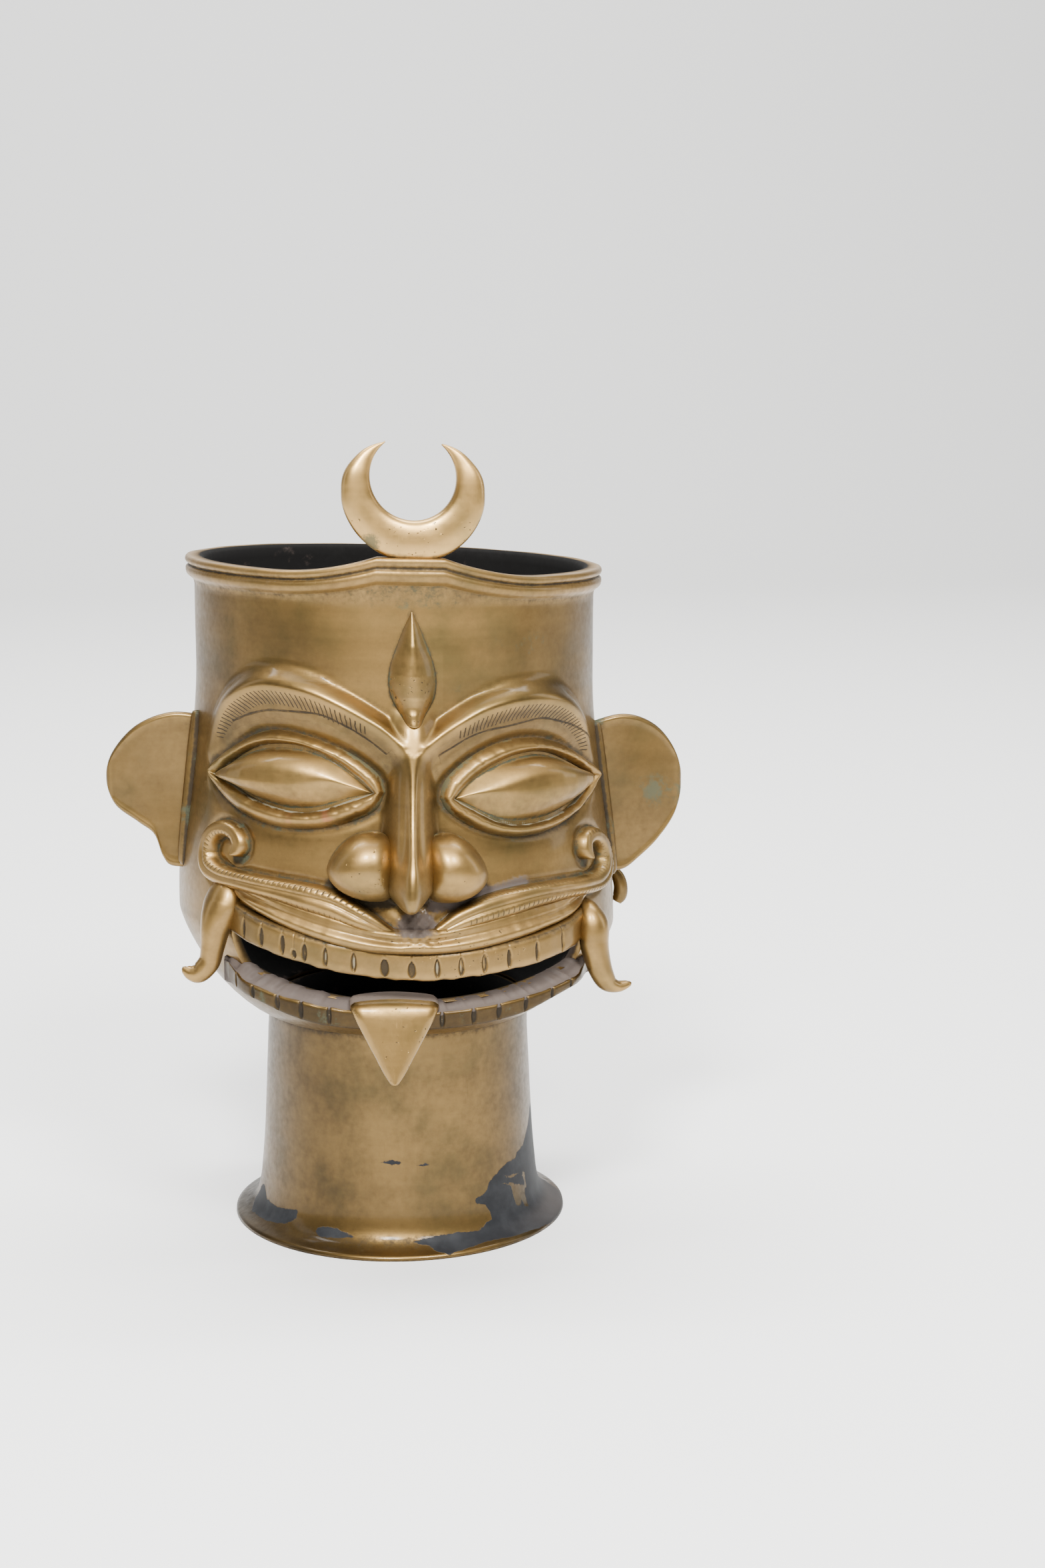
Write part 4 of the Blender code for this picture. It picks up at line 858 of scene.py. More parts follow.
class Wiring:
    """Adds nodes to a tree. What goes into a node is a number, a colour or another node's socket."""

    def __init__(self, tree):
        self.tree = tree
        self.place = tree.nodes.new("ShaderNodeTexCoord").outputs["Object"]

    def node(self, kind, inputs, **settings):
        made = self.tree.nodes.new(kind)
        for name, value in settings.items():
            setattr(made, name, value)
        for key, value in inputs.items():
            self.feed(made.inputs[key], value)
        return made

    def feed(self, socket, value):
        if isinstance(value, bpy.types.NodeSocket):
            self.tree.links.new(value, socket)
        else:
            socket.default_value = value

    def maths(self, operation, a, b=0.0):
        return self.node("ShaderNodeMath", {0: a, 1: b}, operation=operation).outputs[0]

    def plus(self, a, b):
        return self.maths("ADD", a, b)

    def minus(self, a, b):
        return self.maths("SUBTRACT", a, b)

    def times(self, a, b):
        return self.maths("MULTIPLY", a, b)

    def larger(self, a, b):
        return self.maths("MAXIMUM", a, b)

    def without(self, share):
        return self.minus(1.0, share)

    def centred(self, value, size):
        """A value from 0 to 1 spread evenly about 0."""
        return self.times(self.minus(value, 0.5), size)

    def mixed(self, share, first, second):
        """Two colours blended by a share."""
        return self.node("ShaderNodeMix", {0: share, 6: first, 7: second}, data_type="RGBA").outputs[2]

    def scaled(self, vector, size):
        return self.node("ShaderNodeVectorMath", {0: vector, "Scale": size}, operation="SCALE").outputs[0]

    def fade(self, value, low, high, bottom=0.0, top=1.0):
        made = self.node("ShaderNodeMapRange", {0: value, 1: low, 2: high, 3: bottom, 4: top},
                         interpolation_type="SMOOTHSTEP")
        return made.outputs[0]

    def grain(self, scale, detail=3.0, roughness=0.55, stretch=(1.0, 1.0, 1.0), turn=(0.0, 0.0, 0.0)):
        """Noise from 0 to 1 in the piece's own place, which may be turned and stretched."""
        place = self.place
        if stretch != (1.0, 1.0, 1.0):
            given = {"Vector": place, "Rotation": turn, "Scale": stretch}
            place = self.node("ShaderNodeMapping", given).outputs[0]
        made = self.node("ShaderNodeTexNoise",
                         {"Vector": place, "Scale": scale, "Detail": detail, "Roughness": roughness})
        return made.outputs[0]

    def mark(self, label):
        """The value of one of a piece's marks."""
        made = self.node("ShaderNodeAttribute", {}, attribute_name=label, attribute_type="GEOMETRY")
        return made.outputs["Fac"]

    def group(self, name, maker, inputs):
        """A node group, made when it is first used."""
        tree = bpy.data.node_groups.get(name) or maker(name)
        return self.node("ShaderNodeGroup", inputs, node_tree=tree).outputs


COLOUR, VALUE = "NodeSocketColor", "NodeSocketFloat"
WHITE = (1.0, 1.0, 1.0, 1.0)


def start_group(name, given, put_out):
    """An empty node group with its named sockets, given as name: socket type and value."""
    tree = bpy.data.node_groups.new(name, "ShaderNodeTree")
    for label, (kind, value) in given.items():
        socket = tree.interface.new_socket(label, in_out="INPUT", socket_type=kind)
        socket.default_value = value
    for label, kind in put_out.items():
        tree.interface.new_socket(label, in_out="OUTPUT", socket_type=kind)
    return Wiring(tree), tree.nodes.new("NodeGroupInput").outputs, tree.nodes.new("NodeGroupOutput").inputs


def brass_tones_group(name):
    """Golden, brown and olive clouds of handled brass, with long wiping streaks; one mark makes it more
    golden for wear and painted sheen, another darkens it for painted shade and a tarnished patina.
    """
    nodes, given, out = start_group(
        name,
        {"Golden": (COLOUR, WHITE), "Brown": (COLOUR, WHITE), "Olive": (COLOUR, WHITE),
         "Brownness": (VALUE, 0.5), "Polish And Sheen": (VALUE, 0.0), "Shade And Tarnish": (VALUE, 0.0)},
        {"Colour": COLOUR, "Roughness": VALUE})
    cloud = nodes.grain(17.0, 5.0, 0.6)
    blotch = nodes.grain(70.0, 4.0, 0.6)
    fine = nodes.grain(420.0, 3.0, 0.6)
    streak = nodes.grain(60.0, 4.0, 0.65, stretch=(0.16, 0.16, 2.2))
    brown = nodes.plus(nodes.times(cloud, 0.55), nodes.times(blotch, 0.45))
    brown = nodes.plus(brown, nodes.centred(fine, 0.30))
    brown = nodes.plus(brown, nodes.centred(given["Brownness"], 0.6))
    # Wear and painted sheen make the brass more golden and glossier.
    brown = nodes.minus(brown, nodes.times(given["Polish And Sheen"], 0.25))
    share = nodes.fade(brown, 0.24, 0.80)
    colour = nodes.mixed(share, given["Golden"], given["Brown"])
    olive = nodes.fade(nodes.grain(33.0, 4.0, 0.65), 0.44, 0.80, 0.0, 0.75)
    colour = nodes.mixed(olive, colour, given["Olive"])
    tone_and_shade = nodes.times(nodes.fade(streak, 0.3, 0.7, 0.90, 1.06), nodes.fade(blotch, 0.3, 0.7, 0.94, 1.04))
    # Painted shade, with some tarnished patina, darkens the brass.
    shade_dulling = nodes.times(given["Shade And Tarnish"], nodes.fade(cloud, 0.25, 0.75, 0.75, 1.15))
    tone_and_shade = nodes.times(tone_and_shade, nodes.without(nodes.times(shade_dulling, 0.55)))
    nodes.feed(out["Colour"], nodes.scaled(colour, tone_and_shade))
    rough = nodes.plus(nodes.fade(share, 0.0, 1.0, 0.44, 0.54), nodes.centred(fine, 0.16))
    rough = nodes.plus(rough, nodes.centred(streak, 0.16))
    nodes.feed(out["Roughness"], nodes.minus(rough, nodes.times(given["Polish And Sheen"], 0.07)))
    return nodes.tree


def casting_pits_group(name):
    """Small dark pits of the casting, gathered in places."""
    nodes, given, out = start_group(name, {"Amount": (VALUE, 0.3)}, {"Mask": VALUE})
    ragged = nodes.node("ShaderNodeTexNoise", {"Vector": nodes.place, "Scale": 900.0, "Detail": 3.0})
    shift = nodes.scaled(ragged.outputs["Color"], 0.0016)
    nodes.place = nodes.node("ShaderNodeVectorMath", {0: nodes.place, 1: shift}, operation="ADD").outputs[0]
    cluster = nodes.times(nodes.minus(nodes.grain(38.0, 3.0, 0.6), 0.62), 0.8)
    allowed = nodes.plus(nodes.times(given["Amount"], 0.9), cluster)
    total = 0.0
    for scale, spread in ((820.0, 0.14), (380.0, 0.07)):
        cell = nodes.node("ShaderNodeTexVoronoi", {"Vector": nodes.place, "Scale": scale}).outputs
        spot = nodes.fade(cell["Distance"], spread, spread + 0.12, 1.0, 0.0)
        pick = nodes.node("ShaderNodeSeparateColor", {0: cell["Color"]}).outputs[0]
        spot = nodes.times(spot, nodes.fade(nodes.minus(allowed, pick), 0.0, 0.08))
        total = nodes.larger(total, spot)
    nodes.feed(out["Mask"], nodes.times(total, nodes.fade(given["Amount"], 0.0, 0.25)))
    return nodes.tree


def fine_scratches_group(name):
    """Hairline scratches and rubbed places in several directions."""
    nodes, given, out = start_group(name, {"Amount": (VALUE, 0.5)}, {"Mask": VALUE})
    total = 0.0
    for turn, scale in (((0.3, 0.2, 0.4), 90.0), ((-0.5, 0.4, 1.3), 70.0), ((0.9, -0.3, -0.7), 110.0)):
        lines = nodes.grain(scale, 2.0, 0.5, stretch=(14.0, 14.0, 0.35), turn=turn)
        total = nodes.larger(total, nodes.fade(lines, 0.70, 0.76))
    shown = nodes.times(total, nodes.fade(nodes.grain(45.0, 3.0, 0.6), 0.45, 0.62))
    nodes.feed(out["Mask"], nodes.times(shown, given["Amount"]))
    return nodes.tree


# What fills the crevices, the first filling also painting shade: where it begins to show and where it is
# thick, its strength and its roughness.
FILLINGS = {
    "Grime And Shade": (0.22, 0.90, 0.90, 0.66),
    "Verdigris": (0.44, 0.74, 0.80, 0.72),
    "Dust": (0.30, 0.65, 0.92, 0.80),
    "Deposit": (0.40, 0.60, 0.95, 0.85),
}


def crevice_filling_group(name):
    """Dirt and painted shade in one dark colour, verdigris, dust and pale deposit over the brass, where the
    marks put them.
    """
    given = {"Colour": (COLOUR, WHITE), "Roughness": (VALUE, 0.4)}
    for label in FILLINGS:
        given[label] = (VALUE, 0.0)
        given[label + " Colour"] = (COLOUR, WHITE)
    nodes, given, out = start_group(
        name, given, {"Colour": COLOUR, "Roughness": VALUE, "Metal": VALUE, "Height": VALUE})
    fine = nodes.minus(nodes.grain(650.0, 4.0, 0.7), 0.5)
    broken = nodes.plus(nodes.times(fine, 0.75), nodes.centred(nodes.grain(190.0, 4.0, 0.65), 0.75))
    colour, rough, cover = given["Colour"], given["Roughness"], 0.0
    for label, (low, high, strength, matt) in FILLINGS.items():
        present = nodes.maths("MINIMUM", nodes.times(given[label], 3.0), 1.0)
        level = nodes.plus(given[label], nodes.times(broken, present))
        mask = nodes.fade(level, low, high, 0.0, strength)
        colour = nodes.mixed(mask, colour, given[label + " Colour"])
        rough = nodes.plus(nodes.times(rough, nodes.without(mask)), nodes.times(mask, matt))
        cover = nodes.larger(cover, mask)
    nodes.feed(out["Colour"], colour)
    nodes.feed(out["Roughness"], rough)
    nodes.feed(out["Metal"], nodes.fade(cover, 0.0, 1.0, 1.0, 0.12))
    # The deposit is the last of the fillings, and the only one that stands out.
    nodes.feed(out["Height"], nodes.times(mask, nodes.plus(0.6, fine)))
    return nodes.tree


def chased_strokes_group(name):
    """Short chased strokes across a band, from a run counted in strokes and a place across the band."""
    nodes, given, out = start_group(name, {"Run": (VALUE, 0.0), "Band": (VALUE, 0.0)}, {"Mask": VALUE})
    shake = nodes.centred(nodes.grain(260.0, 2.0, 0.5), 0.55)
    run = nodes.plus(given["Run"], shake)
    off = nodes.maths("ABSOLUTE", nodes.minus(nodes.maths("FRACT", run), 0.5))
    band = nodes.fade(nodes.plus(given["Band"], shake), 0.30, 0.55)
    nodes.feed(out["Mask"], nodes.times(nodes.fade(off, 0.07, 0.17, 1.0, 0.0), band))
    return nodes.tree


def chased_cuts(nodes):
    """Where the short strokes and the incised line are cut."""
    strokes = nodes.group("chased_strokes", chased_strokes_group,
                          {"Run": nodes.mark("stroke_run"), "Band": nodes.mark("stroke_band")})
    off = nodes.maths("ABSOLUTE", nodes.minus(nodes.mark("incision"), INCISION_LEVEL))
    line = nodes.fade(nodes.plus(off, nodes.centred(nodes.grain(300.0), 0.5)), 0.16, 0.50, 1.0, 0.0)
    return nodes.larger(strokes["Mask"], nodes.times(line, 0.8))


def surface_height(nodes, pits, deposit, scratches):
    """Height of the fine surface, for bump."""
    height = nodes.plus(nodes.times(pits, -0.5), nodes.times(deposit, 0.5))
    height = nodes.minus(height, nodes.times(scratches, 0.06))
    height = nodes.plus(height, nodes.times(nodes.grain(900.0, 3.0), 0.06))
    return nodes.plus(height, nodes.times(nodes.grain(160.0, 2.0), 0.12))


def sooted(nodes, colour, rough, metal):
    """The matt black soot of the inside, with dusty clouds."""
    black = nodes.mark("soot")
    cloud = nodes.fade(nodes.grain(55.0, 5.0, 0.65), 0.58, 0.74, 0.0, 0.5)
    inside = nodes.mixed(cloud, (0.004, 0.0037, 0.0034, 1.0), (0.120, 0.088, 0.074, 1.0))
    colour = nodes.mixed(black, colour, inside)
    return colour, nodes.plus(rough, nodes.times(black, 0.5)), nodes.times(metal, nodes.without(black))


def tarred(nodes, colour, rough, metal, height):
    """The thin film of black residue on the neck, with a ragged edge and some dust on it."""
    edge = nodes.plus(nodes.centred(nodes.grain(420.0, 5.0, 0.7), 0.34),
                      nodes.centred(nodes.grain(110.0, 3.0, 0.6), 0.22))
    film = nodes.fade(nodes.plus(nodes.mark("residue"), edge), 0.46, 0.53)
    bare = nodes.without(film)
    grey = nodes.fade(nodes.grain(130.0, 4.0, 0.6), 0.35, 0.75)
    residue = tuple(bpy.context.scene.mask_finish.residue)
    tar = nodes.mixed(grey, residue, (0.020, 0.021, 0.023, 1.0))
    tar = nodes.mixed(nodes.times(nodes.mark("dust"), 0.7), tar, (0.055, 0.047, 0.043, 1.0))
    rough = nodes.plus(nodes.times(rough, bare), nodes.times(film, 0.56))
    height = nodes.plus(height, nodes.times(film, 0.22))
    return nodes.mixed(film, colour, tar), rough, nodes.times(metal, bare), height


def brass_finish(name, brownness=0.5, pits=0.1, tone_and_shade=1.0, strokes=False, soot=False, residue=False):
    """A cast brass for one kind of piece, made once."""
    made = bpy.data.materials.get(name)
    if made:
        return made
    colours = bpy.context.scene.mask_finish
    made = bpy.data.materials.new(name)
    made.use_nodes = True
    made.node_tree.nodes.clear()
    nodes = Wiring(made.node_tree)
    # A tone below 1 makes a darker copy of the brass as painted shade, and one above 1 a brighter copy as
    # painted light.
    base = {label: [channel * tone_and_shade for channel in colour[:3]] + [1.0] for label, colour in (
        ("Golden", colours.golden), ("Brown", colours.brown), ("Olive", colours.olive))}
    tones = nodes.group("brass_tones", brass_tones_group, {
        **base, "Brownness": brownness, "Polish And Sheen": nodes.mark("polish_and_sheen"), "Shade And Tarnish": nodes.mark("shade_and_tarnish")})
    amount = nodes.plus(nodes.mark("pitted"), pits)
    pitting = nodes.group("casting_pits", casting_pits_group, {"Amount": amount})["Mask"]
    scratches = nodes.group("fine_scratches", fine_scratches_group, {"Amount": 0.8})["Mask"]
    red = nodes.mark("copper")
    red = nodes.fade(nodes.plus(red, nodes.centred(nodes.grain(300.0), red)), 0.3, 0.8)
    grime_and_shade = nodes.larger(nodes.mark("grime_and_shade"), nodes.times(pitting, 0.85))
    if strokes:
        cut = chased_cuts(nodes)
        grime_and_shade = nodes.larger(grime_and_shade, nodes.times(cut, 0.95))
    filling = nodes.group("crevice_filling", crevice_filling_group, {
        "Colour": nodes.mixed(red, tones["Colour"], tuple(colours.copper)), "Roughness": tones["Roughness"],
        "Grime And Shade": grime_and_shade, "Grime And Shade Colour": colours.grime_and_shade,
        "Verdigris": nodes.mark("green"), "Verdigris Colour": colours.verdigris,
        "Deposit": nodes.mark("pale"), "Deposit Colour": colours.deposit,
        "Dust": nodes.mark("dust"), "Dust Colour": colours.dust})
    colour, metal = filling["Colour"], filling["Metal"]
    rough = nodes.plus(filling["Roughness"], nodes.times(scratches, 0.12))
    height = surface_height(nodes, pitting, filling["Height"], scratches)
    if strokes:
        height = nodes.minus(height, nodes.times(cut, 0.9))
    if soot:
        colour, rough, metal = sooted(nodes, colour, rough, metal)
    if residue:
        colour, rough, metal, height = tarred(nodes, colour, rough, metal, height)
    bump = nodes.node("ShaderNodeBump", {"Strength": 0.55, "Distance": 0.0005, "Height": height})
    shader = nodes.node("ShaderNodeBsdfPrincipled", {
        "Base Color": colour, "Roughness": rough, "Metallic": metal, "Specular IOR Level": 0.15,
        "Coat Weight": nodes.times(metal, 0.20), "Coat Roughness": 0.13, "Normal": bump.outputs[0]})
    nodes.node("ShaderNodeOutputMaterial", {"Surface": shader.outputs[0]})
    return made


def face_brass():
    return brass_finish("face_brass", 0.50, 0.03, strokes=True, soot=True)


def feature_brass():
    return brass_finish("feature_brass", 0.46, 0.0)


# A darker copy of the brass: painted shade on the ears at the head's sides.
def shaded_ear_brass():
    return brass_finish("shaded_ear_brass", 0.52, 0.02, 0.64)


# Pieces


class Layers(dict):
    """Marks by label, each as strong as the strongest laid on it."""

    def lay(self, label, values):
        self[label] = np.maximum(self.get(label, 0.0), values)


class MASK_OT_head(Operator):
    """Adds the hollow head with its brows, nose, mouth opening and rim"""

    bl_idname = "mask.head"
    bl_label = "Head"

    def execute(self, context):
        columns = self.columns()
        outer, turned, height = self.outside(columns)
        inner = self.inside(columns)
        rings = np.concatenate([outer, inner])
        rows, size = rings.shape[:2]
        if rows < 100:
            raise RuntimeError("The head's grid came out too coarse")
        left, right = (int(np.argmin(np.abs(columns - end))) for end in (-MOUTH_END, MOUTH_END))
        low = len(BOWL_SHARES) + HEAD_RUNS[0][2]
        high = low + MOUTH_STEPS
        far_high = len(outer) + len(INNER_ABOVE)
        far_low = far_high + MOUTH_STEPS
        keep = np.ones((rows, size), bool)
        keep[low:high, left:right] = False
        keep[far_high:far_low, left:right] = False
        quads = np.array(ring_faces(rows, size, closed=True)).reshape(rows, size, 4)
        faces = quads[keep].tolist()

        def at(row, column):
            return row * size + column

        for column in range(left, right):
            beside = column + 1
            faces.append([at(low, column), at(low, beside), at(far_low, beside), at(far_low, column)])
            faces.append([at(high, beside), at(high, column), at(far_high, column), at(far_high, beside)])
        for step in range(MOUTH_STEPS):
            front, back = low + step, far_low - step
            faces.append([at(front + 1, left), at(front, left), at(back, left), at(back - 1, left)])
            faces.append([at(front, right), at(front + 1, right), at(back - 1, right), at(back, right)])
        marks = self.marks(columns, turned, height, len(inner))
        new_piece("head", rings.reshape(-1, 3), faces, face_brass(), marks)
        return {"FINISHED"}

    @staticmethod
    def columns():
        """Angles of the grid's columns, close together over the face."""
        side = np.concatenate([np.linspace(0.4, 12.0, 30), np.linspace(12.5, 66.0, 108),
                               np.linspace(67.0, 90.0, 24), np.linspace(93.6, 176.4, 24)])
        return np.concatenate([[-180.0], -side[::-1], [0.0], side])

    def outside(self, columns):
        """Rings of the outer skin and the rim, with the skin's own angles and heights."""
        bowl = NECK_TOP + (JAW_WIDEST - NECK_TOP) * np.array(BOWL_SHARES)
        runs = [np.linspace(start, end, count, endpoint=False) for start, end, count in HEAD_RUNS]
        rows = np.concatenate([bowl, *runs])
        height = self.parted(rows[:, None], columns[None, :])
        turned = np.broadcast_to(columns, height.shape)
        lift = (SEAT_TOP - RIM_TOP) * self.rim_climb(columns)
        projection, = millimetres("mask_casting", "rim_projection")
        wave = 0.25 * np.sin(np.radians(columns * 7.0)) + 0.18 * np.sin(np.radians(columns * 17.0 + 40.0))
        rim = []
        for climb, out in RIM_MOULDING:
            level = RIM_UNDERSIDE + (RIM_TOP - RIM_UNDERSIDE) * climb + lift * between(climb, 1.0, 0.75)
            radius = FOREHEAD_HALF + projection * out * (1.0 + 0.10 * wave)
            rim.append(plan_point(columns, radius, depth_share(columns, level), level + 0.25 * wave * climb))
        return np.concatenate([face(turned, height), np.array(rim)]), turned, height

    def inside(self, columns):
        """Rings of the hollow from the rim down to the floor."""
        wall, = millimetres("mask_casting", "wall")
        mouth = np.linspace(MOUTH_UPPER, MOUTH_LOWER, MOUTH_STEPS + 1)
        lift = (SEAT_TOP - RIM_TOP) * self.rim_climb(columns)
        rings = []
        for row in np.concatenate([INNER_ABOVE, mouth, INNER_BELOW]):
            height = self.parted(row, columns)
            radius = self.inner_radius(height, wall) + swelling(columns, height)
            if row > RIM_UNDERSIDE:
                radius = radius + (1.6 if row == RIM_TOP else 0.3)
                height = height + lift * (row - RIM_UNDERSIDE) / (RIM_TOP - RIM_UNDERSIDE)
            rings.append(plan_point(columns, radius, depth_share(columns, height), height))
        rings.append(plan_point(columns, np.full_like(columns, FLOOR_HALF), 1.0, FLOOR_TOP))
        return np.array(rings)

    @staticmethod
    def inner_radius(height, wall):
        """Half width of the hollow, whose floor is the bottom of the bowl."""
        fall = np.clip((JAW_WIDEST - height) / (JAW_WIDEST - FLOOR_TOP), 0.0, 1.0)
        rise = np.maximum(1.0 - fall ** JAW_ROUNDNESS, 0.0) ** (1.0 / JAW_ROUNDNESS)
        lower = between(FLOOR_HALF, JAW_HALF - wall, rise)
        return np.where(height < JAW_WIDEST, lower, half_width(height) - wall)

    @staticmethod
    def parted(rows, columns):
        """Heights of the grid's rows, spread apart along the mouth's smile."""
        chin, cheek = 84.0, 150.0
        fading = 1.0 - ease((np.abs(columns) - 54.0) / 26.0)
        lower = (mouth_lower(columns) - MOUTH_LOWER) * fading
        upper = (mouth_upper(columns) - MOUTH_UPPER) * fading
        below = lower * np.clip((rows - chin) / (MOUTH_LOWER - chin), 0.0, 1.0)
        gap = np.clip((rows - MOUTH_LOWER) / (MOUTH_UPPER - MOUTH_LOWER), 0.0, 1.0)
        above = upper * np.clip((cheek - rows) / (cheek - MOUTH_UPPER), 0.0, 1.0)
        slit = np.where(rows < MOUTH_UPPER, between(lower, upper, gap), above)
        return rows + np.where(rows < MOUTH_LOWER, below, slit)

    @staticmethod
    def rim_climb(columns):
        """Share of the rim's climb to the moon's seat at its front."""
        across = np.abs(FOREHEAD_HALF * np.sin(np.radians(columns)))
        fall = np.clip((across - 11.0) / 35.0, 0.0, 1.0)
        return np.where(np.abs(columns) < 90.0, (1.0 - fall) ** 2, 0.0)

    def marks(self, columns, turned, height, inner_rows):
        """Where dirt, corrosion, wear, painted shade, painted sheen and chasing lie on the head, its rim and
        its inside.
        """
        skin = Layers()
        self.mark_features(skin, turned, height)
        self.mark_nose(skin, turned, height)
        self.mark_skin(skin, turned, height)
        stand = nose_parts(turned, height)[0]
        for label in ("grime_and_shade", "green", "pitted"):
            skin[label] = skin[label] * (1.0 - np.clip(stand / 3.0, 0.0, 1.0))
        # Painted shade under the nose's tip.
        skin.lay("grime_and_shade", 0.9 * ease((130.4 - height) / 0.8) * (stand > 2.0))
        skin.update(self.chasing(turned, height))
        rows = np.arange(len(RIM_MOULDING))[:, None]
        rim = {
            "grime_and_shade": np.interp(rows, (0, 1, 3, 7, 9, 11, 15), (0.5, 0.55, 0.2, 0.4, 0.95, 0.35, 0.1)),
            "green": np.interp(rows, (0, 1, 2, 3), (0.5, 0.5, 0.4, 0.2)) * near(columns, 26.0),
        }
        crust = near(columns - 46.0, 12.0) * ease((np.arange(inner_rows)[:, None] - 12.0) / 2.0)
        inside = {"dust": crust, "soot": 1.0 - 0.95 * crust}
        parts = ((skin, len(height)), (rim, len(rows)), (inside, inner_rows))
        return {label: np.concatenate([np.broadcast_to(part.get(label, 0.0), (count, len(columns)))
                                       for part, count in parts])
                for label in (*skin, "soot")}

    @staticmethod
    def mark_features(skin, turned, height):
        """Dirt round the lids, moustache and third eye, the brows' worn crests with painted sheen, and
        painted shade round the lids and in the hollows under the brows.
        """
        distance = off_lids(turned, height, 16.0)
        skin.lay("grime_and_shade", 0.72 * near(distance, 1.5))
        skin.lay("green", 0.45 * near(distance - 0.6, 1.6))
        # Painted shade round the lids.
        skin.lay("shade_and_tarnish", 0.75 * near(distance, 6.5))
        distance = np.maximum(off_moustache(turned, height), 0.0)
        skin.lay("grime_and_shade", 0.80 * near(distance, 1.3))
        skin.lay("green", 0.5 * near(distance, 2.2))
        for line in brow_lines():
            distance, above, share = beside_brow(line, turned, height)
            # Worn crests with painted sheen.
            skin.lay("polish_and_sheen", near(distance, 2.6) * ease((1.0 - share) / 0.3))
            skin.lay("grime_and_shade", 0.42 * above * near(distance - 5.4, 1.6) * ease((0.6 - share) / 0.2))
            # Painted shade in the hollow under each brow.
            skin.lay("shade_and_tarnish", 0.8 * ~above * ease((distance - 1.5) / 3.0) * near(distance - 6.0, 7.0))
        top, bottom = millimetres("mask_features", "third_eye_top", "third_eye_bottom")
        half = np.interp((top - height) / (top - bottom), *np.array(THIRD_EYE).T)
        beyond = np.abs(height - (top + bottom) / 2) - (top - bottom) / 2
        distance = np.maximum(np.maximum(np.abs(off_nose(turned, height) - 0.3) - half, beyond), 0.0)
        front = np.abs(turned) < 75.0
        skin.lay("grime_and_shade", 0.65 * near(distance, 1.0) * front)
        skin.lay("green", 0.40 * near(distance, 2.4) * front)

    @staticmethod
    def mark_nose(skin, turned, height):
        """The nose's worn ridge with painted sheen, the dirt at its foot, painted shade beside it and the
        painted shadow of its wings.
        """
        front = np.abs(turned) < 75.0
        off = np.where(front, np.abs(off_nose(turned, height)), 90.0)
        skin.lay("polish_and_sheen", 0.8 * near(off, 2.2) * within(height, 128.0, 4.0, 196.0, 6.0))
        skin.lay("grime_and_shade", 0.45 * near(off - 8.0, 2.0) * within(height, 126.0, 6.0, 184.0, 10.0))
        skin.lay("green", 0.45 * near(off - 9.5, 2.2) * within(height, 168.0, 6.0, 188.0, 8.0))
        # Painted shade beside the nose.
        skin.lay("shade_and_tarnish", 0.70 * near(off - 11.0, 6.0) * within(height, 126.0, 6.0, 192.0, 10.0))
        beside = np.where(front, np.abs(NOSE_FRONT * np.sin(np.radians(turned)) + 1.8) - 10.4, 90.0)
        droop = 2.8 * np.clip(beside / 15.2, 0.0, 1.2) ** 2
        wings = np.maximum((np.hypot(beside / 14.6, (height - 141.0 + droop) / 11.0) - 1.0) * 12.0, 0.0)
        # Painted shadow on the skin under the wings, besides the dirt along their edges.
        wing_shadow = ease((137.0 - height) / 5.0) * (height > 122.0)
        skin.lay("grime_and_shade", 0.7 * near(wings, 1.4) + 1.3 * near(wings, 3.6) * wing_shadow)
        skin.lay("green", 0.30 * near(wings, 2.6))

    @staticmethod
    def mark_skin(skin, turned, height):
        """Painted shade at the sides, over the brows and under the mouth, the stains, and dirt at the rim and
        over the lip.
        """
        turn = np.abs(turned)
        # Painted shade: the forehead's sides, the head's sides, the bowl's bottom and the skin under the
        # mouth.
        skin.lay("shade_and_tarnish", 0.85 * ease((np.abs(turned + 8.0) - 22.0) / 34.0) * ease((height - 186.0) / 14.0))
        skin.lay("shade_and_tarnish", 0.55 * ease((turn - 52.0) / 14.0))
        skin.lay("shade_and_tarnish", 0.8 * ease((92.0 - height) / 8.0))
        skin.lay("shade_and_tarnish", 0.7 * ease((mouth_lower(turned) - 3.0 - height) / 6.0))
        skin.lay("shade_and_tarnish", 0.35 * near(turn - 70.0, 14.0))
        for label, strength, *place in STAINS:
            skin.lay(label, strength * oval(turned, height, *place))
        skin.lay("green", 0.52 * ease((height - 222.0) / 5.0) * (turn < 90.0) * near(turned, 24.0))
        skin.lay("grime_and_shade", 0.45 * ease((height - 224.5) / 3.0))
        skin.lay("pitted", 0.9 * near(height - mouth_upper(turned) - 8.0, 10.0) * near(turned, 12.0))
        skin.lay("dust", near(np.hypot((turned - 0.4) / 5.0, (height - PHILTRUM) / 5.0) ** 2, 1.2))
        channel = near(height - 127.5 - 0.24 * turned, 3.4) * within(turned, 1.0, 4.0, 36.0, 9.0)
        skin.lay("dust", 0.80 * channel)

